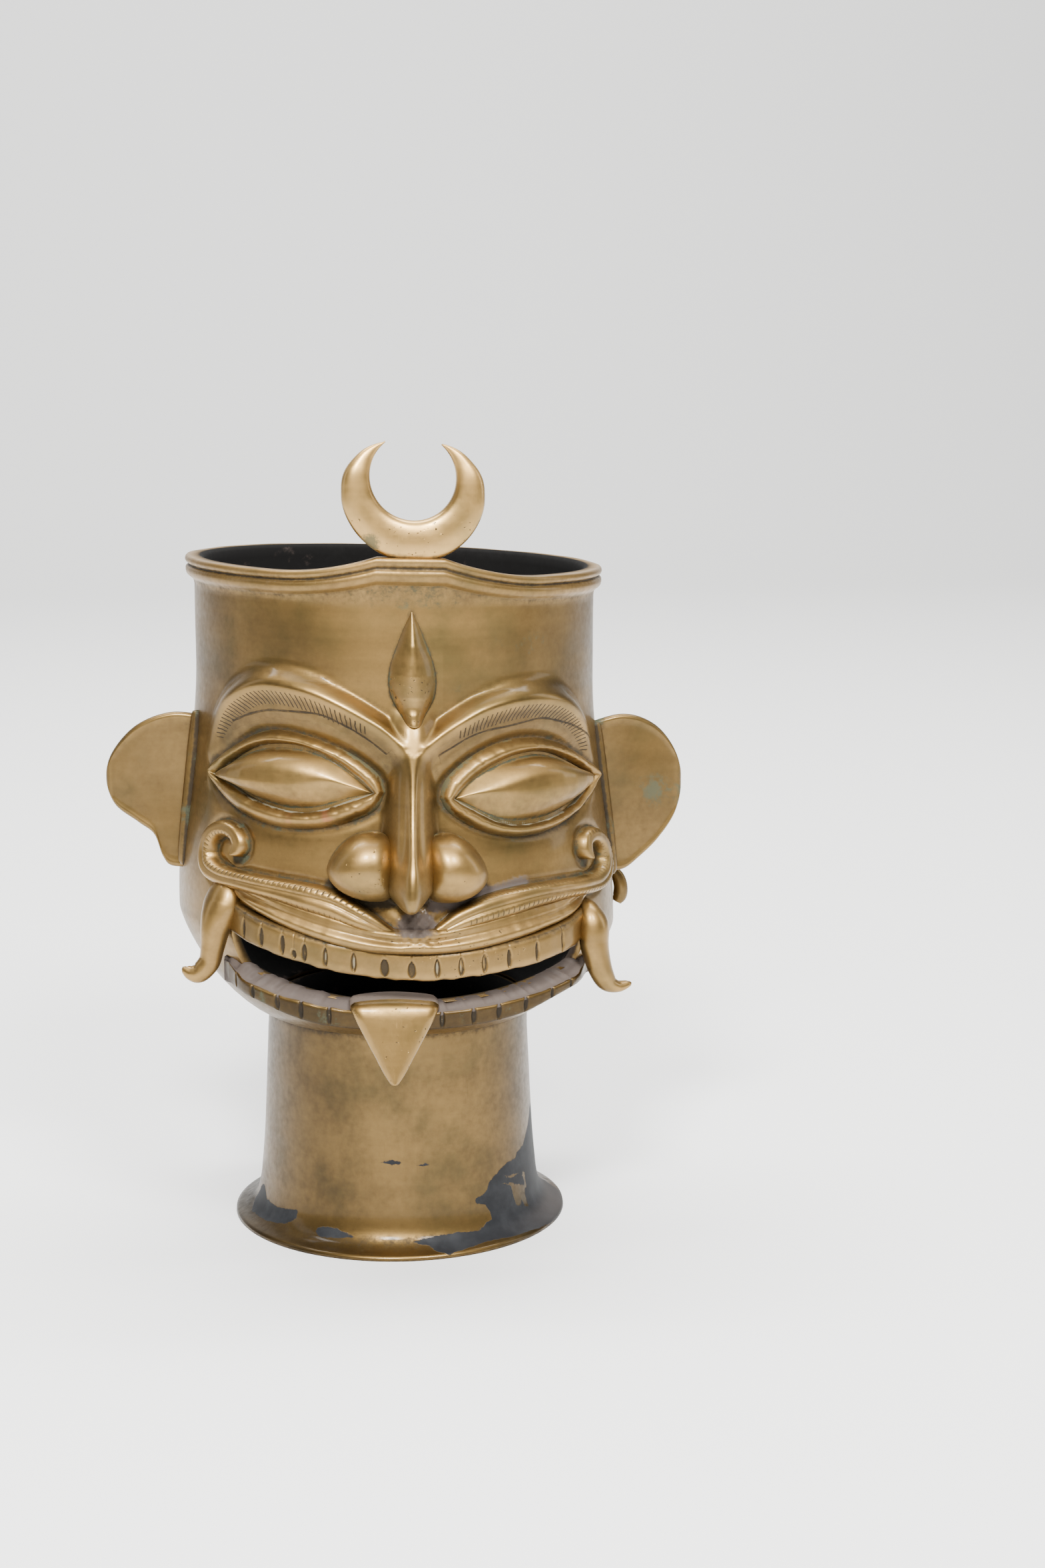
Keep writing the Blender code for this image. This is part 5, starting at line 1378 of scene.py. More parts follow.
    @staticmethod
    def chasing(turned, height):
        """Runs of short strokes under each brow and the incised line below them."""
        pitch, = millimetres("mask_features", "stroke_pitch")
        run, band, incision = (np.zeros(height.shape) for _ in range(3))
        for line, deep in zip(brow_lines(), (mirrored(INCISED_LEFT), INCISED_RIGHT)):
            distance, above, share = beside_brow(line, turned, height)
            below = ~above & (distance < BROW_REACH - 0.1)
            width = between(2.4, 5.0, ease(share / 0.3)) * between(1.0, 0.7, ease((share - 0.7) / 0.3))
            inside = within(distance, 1.6, 0.8, 1.8 + width, 0.8) * within(share, 0.10, 0.05, 0.95, 0.05)
            run = np.where(below, (share * travelled(line)[-1] + 0.55 * distance) / pitch, run)
            band = np.where(below, inside, band)
            gap, way, along = nearest(flowing(deep, 90), turned, height, 3.0)
            at_end = (along <= 0.001) | (along >= 0.999)
            signed = np.where(at_end, 3.0, gap * way)
            beside = np.abs(turned * np.sign(line[-1][0]) - 34.0) < 34.0
            incision = np.where((gap < 2.9) & beside, INCISION_LEVEL + signed, incision)
        return {"stroke_run": run, "stroke_band": band, "incision": incision}


class MASK_OT_neck(Operator):
    """Adds the neck and its flange, spun round the axis, with the black residue's place on it"""

    bl_idname = "mask.neck"
    bl_label = "Neck and Flange"

    def execute(self, context):
        outside = flowing(NECK_PROFILE, 70, metric=(1.0, 1.0))
        neck = self.spun(context, np.vstack([outside, NECK_BORE]))
        x, y, z = vertex_places(neck).T * PER_METRE
        radius = np.hypot(x, y)
        degrees = np.degrees(np.arctan2(x, -y))
        inside = radius < np.interp(z, outside[:, 1], outside[:, 0]) - 1.0
        apart = (outside[None, :, 0] - radius[:, None]) ** 2 + (outside[None, :, 1] - z[:, None]) ** 2
        climb = travelled(outside, (1.0, 1.0))[apart.argmin(axis=1)]
        wave = np.sin(np.radians(degrees * 3.0 + 20.0)) * 0.22 + np.sin(np.radians(degrees * 7.0)) * 0.10
        wave = wave * np.clip(z / 10.0, 0.0, 1.0) * np.clip((78.0 - z) / 10.0, 0.0, 1.0)
        swell = np.where(inside, 0.0, wave - 0.3)
        swell = np.minimum(swell, np.where(z < 3.0, 0.0, 9.0))
        grown = 1.0 + swell / radius
        # A darker copy of the brass: painted shade on the neck.
        finish = brass_finish("shaded_neck_brass", 0.54, 0.02, 0.64, soot=True, residue=True)
        marks = self.patina(degrees, climb, z, inside)
        reshaped(neck, np.column_stack([x * grown, y * grown, z]), finish, marks)
        return {"FINISHED"}

    @staticmethod
    def spun(context, profile):
        """A closed profile of radius and height, spun round the upright axis."""
        steps, count = 300, len(profile)
        deselect()
        mesh = bpy.data.meshes.new("neck")
        points = [(radius / PER_METRE, 0.0, height / PER_METRE) for radius, height in profile]
        mesh.from_pydata(points, [(step, (step + 1) % count) for step in range(count)], [])
        neck = bpy.data.objects.new("neck", mesh)
        context.scene.collection.objects.link(neck)
        context.view_layer.objects.active = neck
        neck.select_set(True)
        bpy.ops.object.mode_set(mode="EDIT")
        bpy.ops.mesh.select_all(action="SELECT")
        bpy.ops.mesh.spin(steps=steps, angle=2.0 * math.pi, center=(0.0, 0.0, 0.0), axis=(0.0, 0.0, 1.0))
        bpy.ops.mesh.select_all(action="SELECT")
        bpy.ops.mesh.remove_doubles(threshold=0.00001)
        bpy.ops.mesh.normals_make_consistent(inside=False)
        bpy.ops.object.mode_set(mode="OBJECT")
        if len(neck.data.polygons) < steps * (count - 1):
            raise RuntimeError("The neck's spin did not come round")
        return neck

    @staticmethod
    def patina(degrees, climb, height, inside):
        """Marks for the residue, the flange's dirt, painted shade under the jaw and at the sides, a painted
        highlight down the front, and the dark inside.
        """
        across = degrees * NECK_DEGREE
        best = np.full(len(degrees), -9.0)
        for spots, adds in ((RESIDUE, True), (SCRAPES, False)):
            for spot in spots:
                outline = np.array(spot, float) * (NECK_DEGREE, 1.0)
                distance = nearest(outline / (DEGREE, 1.0), across / DEGREE, climb, 8.0, closed=True)[0]
                signed = np.where(inside_outline(outline, across, climb), distance, -distance)
                best = np.maximum(best, signed) if adds else np.minimum(best, -signed)
        # Dirt at the flange, and the jaw's painted shadow round the neck's top.
        grime_and_shade = 0.55 * near(height - 4.5, 2.6) + 0.75 * near(height - 78.0, 3.5) + 0.5 * near(height, 0.9)
        return {
            "residue": np.where(inside, 0.0, np.clip(0.5 + best / 5.0, 0.0, 1.0)),
            "soot": np.where(inside, 1.0, 0.0),
            "grime_and_shade": np.where(inside, 0.0, grime_and_shade),
            # A worn flange edge, and a painted highlight down the front.
            "polish_and_sheen": 0.5 * near(climb - 1.5, 1.2) + 0.35 * near(degrees - 5.0, 30.0),
            # Painted shade at the sides, and a darker flange.
            "shade_and_tarnish": 0.8 * ease((np.abs(degrees - 8.0) - 14.0) / 40.0) + 0.5 * ease((14.0 - climb) / 8.0),
            "dust": 0.85 * near(degrees - 80.0, 26.0) * ease((12.0 - climb) / 6.0),
        }


class MASK_OT_eyes(Operator):
    """Adds both eyeballs, their soft ridges drawn to the nose, and the beaded lids round them"""

    bl_idname = "mask.eyes"
    bl_label = "Eyes and Lids"

    def execute(self, context):
        stand, bead = millimetres("mask_features", "eye_stand", "lid_stand")

        def dome(share, v):
            body = np.interp(share, *EYE_BODY)
            power = between(1.15, 2.9, ease((share - 0.12) / 0.42))
            soft = (np.sqrt(np.abs(v) ** 2 + 0.0016) - 0.04) / 0.86
            return stand * body * (1.0 - np.clip(soft, 0.0, 1.0) ** power)

        def crust(share, edge):
            return 0.55 * ease((edge - 0.84) / 0.1) * between(0.2, 1.1, slow_noise(16, share * 22.0))

        marks = {
            "grime_and_shade": lambda share, edge: 0.80 * near(edge - 0.90, 0.07),
            "green": lambda share, edge: 0.62 * ease((edge - 0.74) / 0.16),
            # A worn middle with painted sheen.
            "polish_and_sheen": lambda share, edge: 0.7 * ease((0.45 - edge) / 0.45),
            "pale": crust,
        }
        pillow("eyeball_left", -1.0, EYE_LEFT, RIDGE_LEFT, dome, feature_brass(), marks)
        pillow("eyeball_right", 1.0, EYE_RIGHT, RIDGE_RIGHT, dome, feature_brass(), marks)
        self.lid("lid_left", -1.0, LID_LEFT, EYE_LEFT, bead)
        self.lid("lid_right", 1.0, LID_RIGHT, EYE_RIGHT, bead)
        return {"FINISHED"}

    def lid(self, name, side, outline, opening, bead):
        """A beaded roll between the lid's outline and the eye's, with small ticks along its inner edge."""
        count = 130
        outer, inner = (self.loop(shape, count) for shape in (outline, opening))
        q, profile = np.array(LID_PROFILE).T[:, None, :]
        run = travelled(outer)
        uneven = 1.0 + 0.14 * (slow_noise(5, run / 5.0) - 0.5) + 0.10 * (slow_noise(6, run / 1.7) - 0.5)
        lower = (np.arange(len(outer)) >= count - 1)[:, None]
        ticks = near(np.mod(run, 1.7) - 0.85, 0.30)[:, None] * np.where(lower, 0.35, 1.0)
        lift = bead * profile * uneven[:, None] - 0.22 * ticks * near(q - 0.76, 0.10)
        lift = np.concatenate([lift, np.full((len(outer), 3), -1.8)], axis=1)
        q = np.concatenate([q, [[0.95, 0.5, 0.05]]], axis=1)
        across, height = np.moveaxis(outer[:, None, :] + (inner - outer)[:, None, :] * q[..., None], -1, 0)
        turned = side * across
        points = face(turned, height) + plain_normal(turned, height) * lift[..., None]
        clouds = slow_noise(9 if side < 0 else 12, run / 4.0)[:, None]
        corner = near(across - outer[0, 0] - 3.0, 9.0)
        dirt = np.maximum(0.62 * near(q, 0.12), 0.85 * near(q - 0.98, 0.10))
        crust = near(q - 0.97, 0.12) * np.where(lower, 0.85, 0.50) * between(0.45, 1.15, clouds)
        marks = {
            "grime_and_shade": dirt + 0.45 * ticks * near(q - 0.78, 0.10),
            "green": 0.50 * near(q - 0.04, 0.16) * between(0.5, 1.2, clouds) + 0.36 * corner,
            "pale": crust + 0.55 * corner * near(q - 0.96, 0.14),
            "polish_and_sheen": 0.25 * near(q - 0.50, 0.16),
        }
        if side < 0:
            worn = near(across - 26.0, 17.0) * between(0.4, 1.0, clouds)
            marks["copper"] = 0.60 * (lower & (q > 0.3)) * worn
        lofted(name, points, feature_brass(), closed=True, marks=marks)

    @staticmethod
    def loop(shape, count):
        """An almond outline that starts at its inner corner, with as many points above as below."""
        upper, lower = halved(shape, count)
        return np.vstack([upper[:-1], lower[::-1][:-1]])[:, :2]


class MASK_OT_third_eye(Operator):
    """Adds the upright almond on the forehead"""

    bl_idname = "mask.third_eye"
    bl_label = "Third Eye"

    def execute(self, context):
        top, bottom = millimetres("mask_features", "third_eye_top", "third_eye_bottom")
        stand, = millimetres("mask_features", "third_eye_stand")
        share = np.linspace(0.0, 1.0, 90)
        half = read_off(THIRD_EYE, share)[0]
        line = np.column_stack([np.full(90, 0.25), between(top, bottom, share), half])

        def roof(share, v):
            body = np.interp(share, *THIRD_EYE_BODY)
            soft = np.sqrt(v ** 2 + 0.006) - 0.078
            power = between(1.25, 1.7, ease((share - 0.3) / 0.5))
            return stand * body * (1.0 - np.clip(soft, 0.0, 1.0) ** power) - 0.25

        marks = {
            "grime_and_shade": lambda share, v: 0.95 * ease((np.abs(v) - 0.86) / 0.14),
            "green": lambda share, v: 0.55 * ease((np.abs(v) - 0.62) / 0.3),
            "pitted": lambda share, v: 0.55 * ease((share - 0.45) / 0.2),
            # A worn ridge with painted sheen.
            "polish_and_sheen": lambda share, v: 0.9 * ease((0.35 - np.abs(v)) / 0.35),
        }
        band_on_face("third_eye", line, 30, roof, feature_brass(), marks=marks)
        return {"FINISHED"}


class MASK_OT_nose_wings(Operator):
    """Adds the nose's two round wings, each a sphere drawn out and bent down"""

    bl_idname = "mask.nose_wings"
    bl_label = "Nose Wings"

    def execute(self, context):
        for side, name in ((-1.0, "nose_wing_left"), (1.0, "nose_wing_right")):
            deselect()
            bpy.ops.mesh.primitive_uv_sphere_add(segments=88, ring_count=56, radius=1.0)
            wing = context.active_object
            if wing is None or wing.type != "MESH":
                raise RuntimeError("The nose's wing was not added")
            wing.name = wing.data.name = name
            x, y, z = vertex_places(wing).T
            behind = 0.9 * ease((0.25 + y) / 0.5)
            marks = {
                # Dirt where the wing meets the skin, and painted shade on its underside.
                "grime_and_shade": behind + 0.75 * ease((-0.72 - z) / 0.2) * ease((0.5 + y) / 0.6),
                "green": 0.5 * ease((y + 0.45) / 0.4),
                "pitted": (0.75 if side < 0 else 0.4125) * near(np.hypot(x * side + 0.1, z + 0.1), 0.7),
                # A worn spot with painted sheen on the wing's front.
                "polish_and_sheen": 0.6 * near(np.hypot(x, z), 0.6),
            }
            reshaped(wing, self.shaped(side, x, y, z), feature_brass(), marks)
        return {"FINISHED"}

    @staticmethod
    def shaped(side, x, y, z):
        """Places of a round ball's points on a wing, pointed at its outer end and blunt at its inner one."""
        height, outer_reach, inner_reach, depth, tall = 141.4, 14.2 if side < 0 else 13.0, 9.0, 12.6, 11.6
        outward, inward = np.clip(x * side, 0.0, 1.0), np.clip(-x * side, 0.0, 1.0)
        pointed = np.maximum(1.0 - outward ** 1.75, 0.0004) ** 0.60
        square = np.maximum(1.0 - inward ** 3.0, 0.0004) ** 0.40
        ends = np.where(x * side > 0.0, pointed, square) / np.sqrt(np.maximum(1.0 - x ** 2, 0.0004))
        lump = 0.10 * np.sin(5.0 * x + 2.0) * np.sin(4.0 * z + side)
        skin = plain_skin(0.0, 145.6)[1]
        across = side * (13.0 + outer_reach * outward - inner_reach * inward) - 1.8
        sag = 2.0 * outward ** 2 + 1.6 * inward ** 2 * (z < 0.0)
        return np.column_stack([across, skin - 2.4 + (depth + lump) * y, height + tall * z * ends - sag])


class MASK_OT_moustaches(Operator):
    """Adds the two halves of the moustache, each a chased stroke that ends in a curl"""

    bl_idname = "mask.moustaches"
    bl_label = "Moustaches"

    def execute(self, context):
        self.half("moustache_left", MOUSTACHE_LEFT, -1.0, 21)
        self.half("moustache_right", MOUSTACHE_RIGHT, 1.0, 22)
        return {"FINISHED"}

    @staticmethod
    def half(name, stations, side, seed):
        """One half of the moustache, whose seed sets its unevenness."""
        stand, pitch = millimetres("mask_features", "moustache_stand", "stroke_pitch")
        line = flowing(stations, 440)
        full = travelled(line)[-1]
        line[:, 0] *= side
        line[-20:, 2] *= np.sqrt(1.0 - np.linspace(0.0, 0.99, 20) ** 2)
        line[:8, 2] *= np.sqrt(np.linspace(0.10, 1.0, 8))

        def chasing(share, v):
            tick = near(np.mod(share * full + 1.3 * np.abs(v), pitch) - pitch / 2, 0.26)
            low = within(v, -0.74, 0.08, -0.30, 0.08)
            high = 0.8 * within(v, 0.58, 0.08, 0.86, 0.06)
            return tick * (low + high) * within(share, 0.07, 0.05, 0.95, 0.04)

        def height(share, v):
            body = (1.0 - np.abs(v) ** 3.4) ** 0.60
            curl = ease((share - 0.70) / 0.10)
            groove = 0.10 * near(v + 0.06, 0.09) * (1.0 - 0.9 * curl) * ease(share / 0.05)
            straps = 0.05 * near(np.abs(v + 0.04) - 0.46, 0.30) * (1.0 - curl)
            uneven = 1.0 + 0.10 * (slow_noise(seed, share * full / 6.0) - 0.5)
            rise = between(0.45, 1.0, ease(share / 0.12)) * between(1.0, 0.92, curl)
            return stand * body * rise * uneven * (0.97 - groove + straps) - 0.15 * chasing(share, v) - 0.2

        def dirt(share, v):
            groove = 0.5 * near(v + 0.06, 0.06) * (1.0 - ease((share - 0.70) / 0.1))
            edge = 0.75 * ease((np.abs(v) - 0.88) / 0.12)
            return np.maximum(np.maximum(edge, groove), 0.95 * chasing(share, v))

        marks = {
            "grime_and_shade": dirt,
            "green": lambda share, v: 0.50 * ease((np.abs(v) - 0.70) / 0.25),
            "polish_and_sheen": lambda share, v: 0.5 * near(np.abs(v) - 0.5, 0.22),
        }
        band_on_face(name, line, 30, height, feature_brass(), marks=marks)


class MASK_OT_mouth(Operator):
    """Adds the lip's two rolls, the band of upper teeth and the lower jaw's band with its ledge"""

    bl_idname = "mask.mouth"
    bl_label = "Lips and Teeth"

    def execute(self, context):
        self.lip()
        self.upper(np.linspace(-51.0, 51.0, 560))
        self.lower(np.linspace(-57.0, 57.0, 600))
        return {"FINISHED"}

    @staticmethod
    def lip():
        def rolls(share, v):
            low = (1.0 - np.minimum(np.abs(v + 0.46) / 0.62, 1.0) ** 2.0) ** 0.7
            high = (1.0 - np.minimum(np.abs(v - 0.42) / 0.66, 1.0) ** 2.0) ** 0.7
            body = (low ** 3 + (0.86 * high) ** 3) ** (1 / 3) * 0.88
            ends = between(0.35, 1.0, ease(np.minimum(share, 1.0 - share) / 0.12))
            return 4.6 * ends * body * (1.0 + 0.07 * (slow_noise(31, share * 60.0) - 0.5)) - 0.3

        marks = {
            "grime_and_shade": lambda share, v: 0.45 * near(v + 0.01, 0.07) + 0.70 * ease((np.abs(v) - 0.90) / 0.1),
            "green": lambda share, v: 0.35 * near(v + 0.02, 0.2),
            "polish_and_sheen": lambda share, v: 0.5 * near(v + 0.46, 0.26) + 0.25 * near(v - 0.42, 0.2),
            "dust": lambda share, v: 0.75 * near(share - 0.5, 0.055) * ease((v - 0.1) / 0.4),
            "pitted": lambda share, v: 0.5 * near(share - 0.6, 0.15),
        }
        band_on_face("lips", flowing(LIP, 320), 34, rolls, feature_brass(), marks=marks)

    @staticmethod
    def upper(degrees):
        wave = (slow_noise(41, (degrees + 60.0) / 2.2) - 0.5)[:, None] * 0.5
        profile_over, profile_stand = np.array(UPPER_PROFILE).T[:, None, :]

        def cuts(turned, over):
            return notching(turned, over - 0.9, UPPER_NOTCHES, 7.6)

        def section(turned):
            uneven = 1.0 + 0.12 * (slow_noise(42, (turned + 60.0) / 3.0) - 0.5)
            stand = 3.9 * between(0.45, 1.0, ease((51.0 - np.abs(turned)) / 14.0)) * uneven
            over = profile_over + wave * (profile_over < 1.0)
            front = stand * profile_stand - 0.9 * cuts(turned, over)[0]
            return over, np.where(profile_stand > 0.0, front, 2.4 * profile_stand)

        marks = {
            "grime_and_shade": lambda turned, over, _: np.maximum(cuts(turned, over)[1], 0.8 * near(over - 8.8, 0.8)),
            "pale": lambda turned, over, _: 0.8 * cuts(turned, over)[2],
            "green": lambda turned, over, _: 0.35 * near(over - 8.5, 1.6),
            "pitted": lambda turned, over, _: 0.45 * near(turned - 18.0, 14.0),
            "polish_and_sheen": lambda turned, over, _: 0.4 * near(over - 2.5, 2.6),
            # Darker towards the band's ends.
            "shade_and_tarnish": lambda turned, over, _: (
                0.1 + 0.4 * ease((turned - 20.0) / 25.0) + 0.6 * ease((-28.0 - turned) / 14.0)),
        }
        mouth_band("upper_teeth", degrees, mouth_upper, section, feature_brass(), marks)

    @staticmethod
    def lower(degrees):
        reach = 7.0
        wave = (slow_noise(51, (degrees + 60.0) / 3.0) - 0.5)[:, None] * 0.5
        rough = (slow_noise(54, (degrees + 60.0) / 1.3) - 0.5)[:, None] * 0.9 + wave * 1.6
        profile_over, profile_stand = np.array(LOWER_PROFILE).T[:, None, :]

        def fading(turned):
            return between(0.06, 1.0, ease((57.0 - np.abs(turned)) / 15.0))

        def climb(turned, over):
            """How far the band climbs at its ends, most at its lower edge."""
            rise = 1.8 * ease((np.abs(turned) - 26.0) / 18.0) + 0.8 * ease((turned - 24.0) / 14.0)
            return rise * fading(turned) * ease((-1.0 - over) / 6.0)

        def section(turned):
            cut = notching(turned, profile_over + 6.9, LOWER_NOTCHES, 6.0)[0] * (profile_stand > 0.85)
            stand = reach * profile_stand * np.where(profile_stand > 0.0, fading(turned), 1.0) - 0.75 * cut
            over = profile_over + climb(turned, profile_over) + wave * (profile_stand > 0.3) * 0.6
            over = over + rough * (profile_over > -1.0)
            return over, stand + wave * 0.5 * (profile_stand > 0.5)

        def place(turned, over):
            """Height on the band as it would be without its climb."""
            return over - climb(turned, over)

        def share(turned, stand):
            return stand / (reach * fading(turned))

        def cuts(turned, over, stand):
            parts = notching(turned, place(turned, over) + 6.9, LOWER_NOTCHES, 6.0)
            return [part * (share(turned, stand) > 0.80) for part in parts]

        def dirt(turned, over, stand):
            return np.maximum(cuts(turned, over, stand)[1], 0.9 * near(place(turned, over) + 8.3, 0.8))

        def corrosion(turned, over, stand):
            return 0.55 * ease((share(turned, stand) - 0.85) / 0.1) * slow_noise(52, (turned + 60.0) / 4.0)

        def crust(turned, over, stand):
            edge = 0.55 * near(place(turned, over) + 7.5, 0.25) * slow_noise(53, (turned + 60.0) / 2.0)
            return np.maximum(0.7 * cuts(turned, over, stand)[2], edge)

        def ledge_dust(turned, over, stand):
            return ease((0.93 - share(turned, stand)) / 0.06) * (over > np.where(stand < 2.0, -7.6, -2.6))

        # A worn front edge with painted sheen.
        def worn_edge_sheen(turned, over, stand):
            uneven = between(0.2, 1.0, slow_noise(55, (turned + 60.0) / 5.0))
            return 0.9 * near(place(turned, over) + 1.45, 0.3) * uneven * ease(stand - 2.0)

        marks = {
            "grime_and_shade": dirt,
            "green": corrosion,
            "pale": crust,
            "dust": ledge_dust,
            "polish_and_sheen": worn_edge_sheen,
            # Painted shade on the band's underside.
            "shade_and_tarnish": lambda turned, over, stand: 0.95 * ease((-1.6 - place(turned, over)) / 0.5),
        }
        # A darker, browner copy of the brass: painted shade on the jaw, which faces down.
        finish = brass_finish("shaded_jaw_brass", 0.70, 0.02, 0.54)
        mouth_band("lower_jaw", degrees, mouth_lower, section, finish, marks)


class MASK_OT_tusks(Operator):
    """Adds the two tusks that hang from the mouth's corners"""

    bl_idname = "mask.tusks"
    bl_label = "Tusks"

    def execute(self, context):
        marks = {
            "grime_and_shade": lambda share, turn: (
                0.55 * ease((0.18 - share) / 0.18) + 0.45 * ease((-np.sin(turn) - 0.3) / 0.5)),
            # A worn front with painted sheen.
            "polish_and_sheen": lambda share, turn: 0.7 * ease((np.sin(turn) - 0.5) / 0.5),
            "green": lambda share, turn: 0.35 * ease((0.2 - share) / 0.2),
        }
        for name, stations in (("tusk_left", self.left_stations()), ("tusk_right", TUSK_RIGHT)):
            round_rod(name, stations, 90, 34, feature_brass(), marks)
        return {"FINISHED"}

    @staticmethod
    def left_stations():
        """The left tusk's middle line: it drops from the mouth's corner, stands out and hooks outwards."""
        corner, top, drop, hook = 52.5, 126.2, 27.0, 9.8
        root, outward = plain_skin(corner, top), level_normal(corner, top)
        stations = []
        for fall, stand, turn, wide, thick in TUSK_LEFT:
            x, y, _ = root + outward * stand
            stations.append((-x - hook * turn, y, top - drop * fall, wide, thick))
        return stations


class MASK_OT_tongue(Operator):
    """Adds the pointed tongue that hangs over the lower jaw's ledge"""

    bl_idname = "mask.tongue"
    bl_label = "Tongue"

    def execute(self, context):
        ledge, drop, width, thick = MOUTH_LOWER + 1.2, 25.4, 14.0, 3.0
        front = 7.2 - plain_skin(0.0, MOUTH_LOWER)[1]
        line = flowing([(front + kick, ledge - drop * fall, wide) for kick, fall, wide in TONGUE], 90)
        share = np.linspace(0.0, 1.0, 90)[:, None]
        along = np.gradient(line[:, :2], axis=0)
        along /= np.linalg.norm(along, axis=1, keepdims=True)
        side, up = np.array(TONGUE_SECTION).T[:, None, :]
        half = width * line[:, 2] * (1.0 + 0.03 * (slow_noise(61, np.arange(90) / 9.0) - 0.5))
        reach = line[:, 0:1] - along[:, 1:2] * thick * up
        height = line[:, 1:2] + along[:, 0:1] * thick * up
        across = -6.9 - share ** 2 + half[:, None] * side
        marks = {
            "polish_and_sheen": 0.2 + 0.4 * ease((np.abs(side) - 0.8) / 0.2),
            "dust": ease((0.335 - share) / 0.03),
            "grime_and_shade": 0.35 * near(share - 0.36, 0.04) + 0.45 * (up < -0.4),
            "pitted": 0.25,
        }
        points = np.stack([across, -reach, height], axis=-1)
        lofted("tongue", points, brass_finish("tongue_brass", 0.34, 0.0, 0.95), marks=marks)
        return {"FINISHED"}


class MASK_OT_ears(Operator):
    """Adds the two flat leaves at the sides and the rolled strips at their roots"""

    bl_idname = "mask.ears"
    bl_label = "Ears"

    def execute(self, context):
        for side, outline, name in ((-1.0, EAR_LEFT, "left"), (1.0, EAR_RIGHT, "right")):
            self.leaf("ear_" + name, side, np.array(outline))
            self.fold("ear_fold_" + name, side)
        round_rod("ear_hook_right", EAR_HOOK, 60, 20, shaded_ear_brass())
        return {"FINISHED"}

    @staticmethod
    def leaf(name, side, outline):
        middle, half, span, setback, thickness = millimetres(
            "mask_ears", "middle", "half_length", "span", "setback", "thickness")
        if int(outline[:, 0].argmax()) in (0, len(outline) - 1):
            raise RuntimeError("An ear's outline has no tip")
        line = flowing(outline, 500, metric=(1.0, 1.0))
        split = int(line[:, 0].argmax())
        upper, lower = line[:split + 1], line[split:][::-1]
        reach = np.sin(np.linspace(0.0, 0.5, 100) * np.pi)[:, None] * (line[split, 0] - 0.0004)
        high = np.interp(reach, upper[:, 0], upper[:, 1])
        low = np.interp(reach, lower[:, 0], lower[:, 1])
        way = np.sin(np.linspace(-0.5, 0.5, 46) * np.pi)
        way, front = np.concatenate([way, way[::-1]]), np.repeat([-1.0, 1.0], len(way))
        climb = (high + low) / 2 + (high - low) / 2 * way
        from_side = (1.0 - np.abs(way)) * np.maximum(high - low, 0.001) * half / 2
        from_edge = np.minimum(from_side, (reach[-1] - reach) * (span - 68.0) + 0.02)
        body = np.sqrt(np.clip(1.0 - (1.0 - np.minimum(from_edge / 1.1, 1.0)) ** 2, 0.0, 1.0))
        x = between(66.0, span, reach) + np.zeros(climb.shape)
        z = middle + half * climb
        lip = 0.35 * near(from_edge - 1.4, 1.1) * (front < 0.0)
        dish = 0.5 * np.sin(x / 9.0 + side) * np.sin(z / 11.0)
        y = -setback + front * (thickness / 2 * body + lip) + 4.0 * reach + dish
        root = ease((78.0 - x) / 8.0)
        edge = 0.36 * near(from_edge - 0.5, 2.0)
        spots = near(np.hypot(x - 92.0, z - 158.0), 9.0)
        if side < 0.0:
            edge, spots = 0.6 * edge, 0.4 * near(np.hypot(x - 95.0, z - 166.0), 8.0)
        marks = {
            "grime_and_shade": 0.6 * root + 0.35 * (front > 0.0),
            "green": 0.70 * spots + edge + 0.35 * root,
            "polish_and_sheen": 0.5 * near(from_edge - 1.2, 0.9) + 0.1,
            "pitted": 0.12 * spots + 0.02,
        }
        lofted(name, np.stack([side * x, y, z], axis=-1), shaded_ear_brass(), marks=marks)

    @staticmethod
    def fold(name, side):
        """The rolled strip where a leaf meets the head."""
        middle, half = millimetres("mask_ears", "middle", "half_length")
        stations = []
        for climb, thick in ((0.90, 1.2), (0.84, 2.2), (0.45, 2.7), (0.0, 2.6), (-0.45, 2.5), (-0.84, 2.2),
                             (-0.94, 1.0)):
            x, y, height = plain_skin(79.0, middle + half * climb)
            stations.append((side * x, y + 1.2, height, thick, thick))
        marks = {
            "grime_and_shade": lambda share, turn: 0.25 + 0.7 * ease((np.abs(np.cos(turn)) - 0.75) / 0.25),
            "green": lambda share, turn: 0.20 + 0.4 * slow_noise(72, share * 14.0),
            "pale": lambda share, turn: 0.35 * slow_noise(71, share * 20.0) ** 2,
        }
        round_rod(name, stations, 110, 20, shaded_ear_brass(), marks)


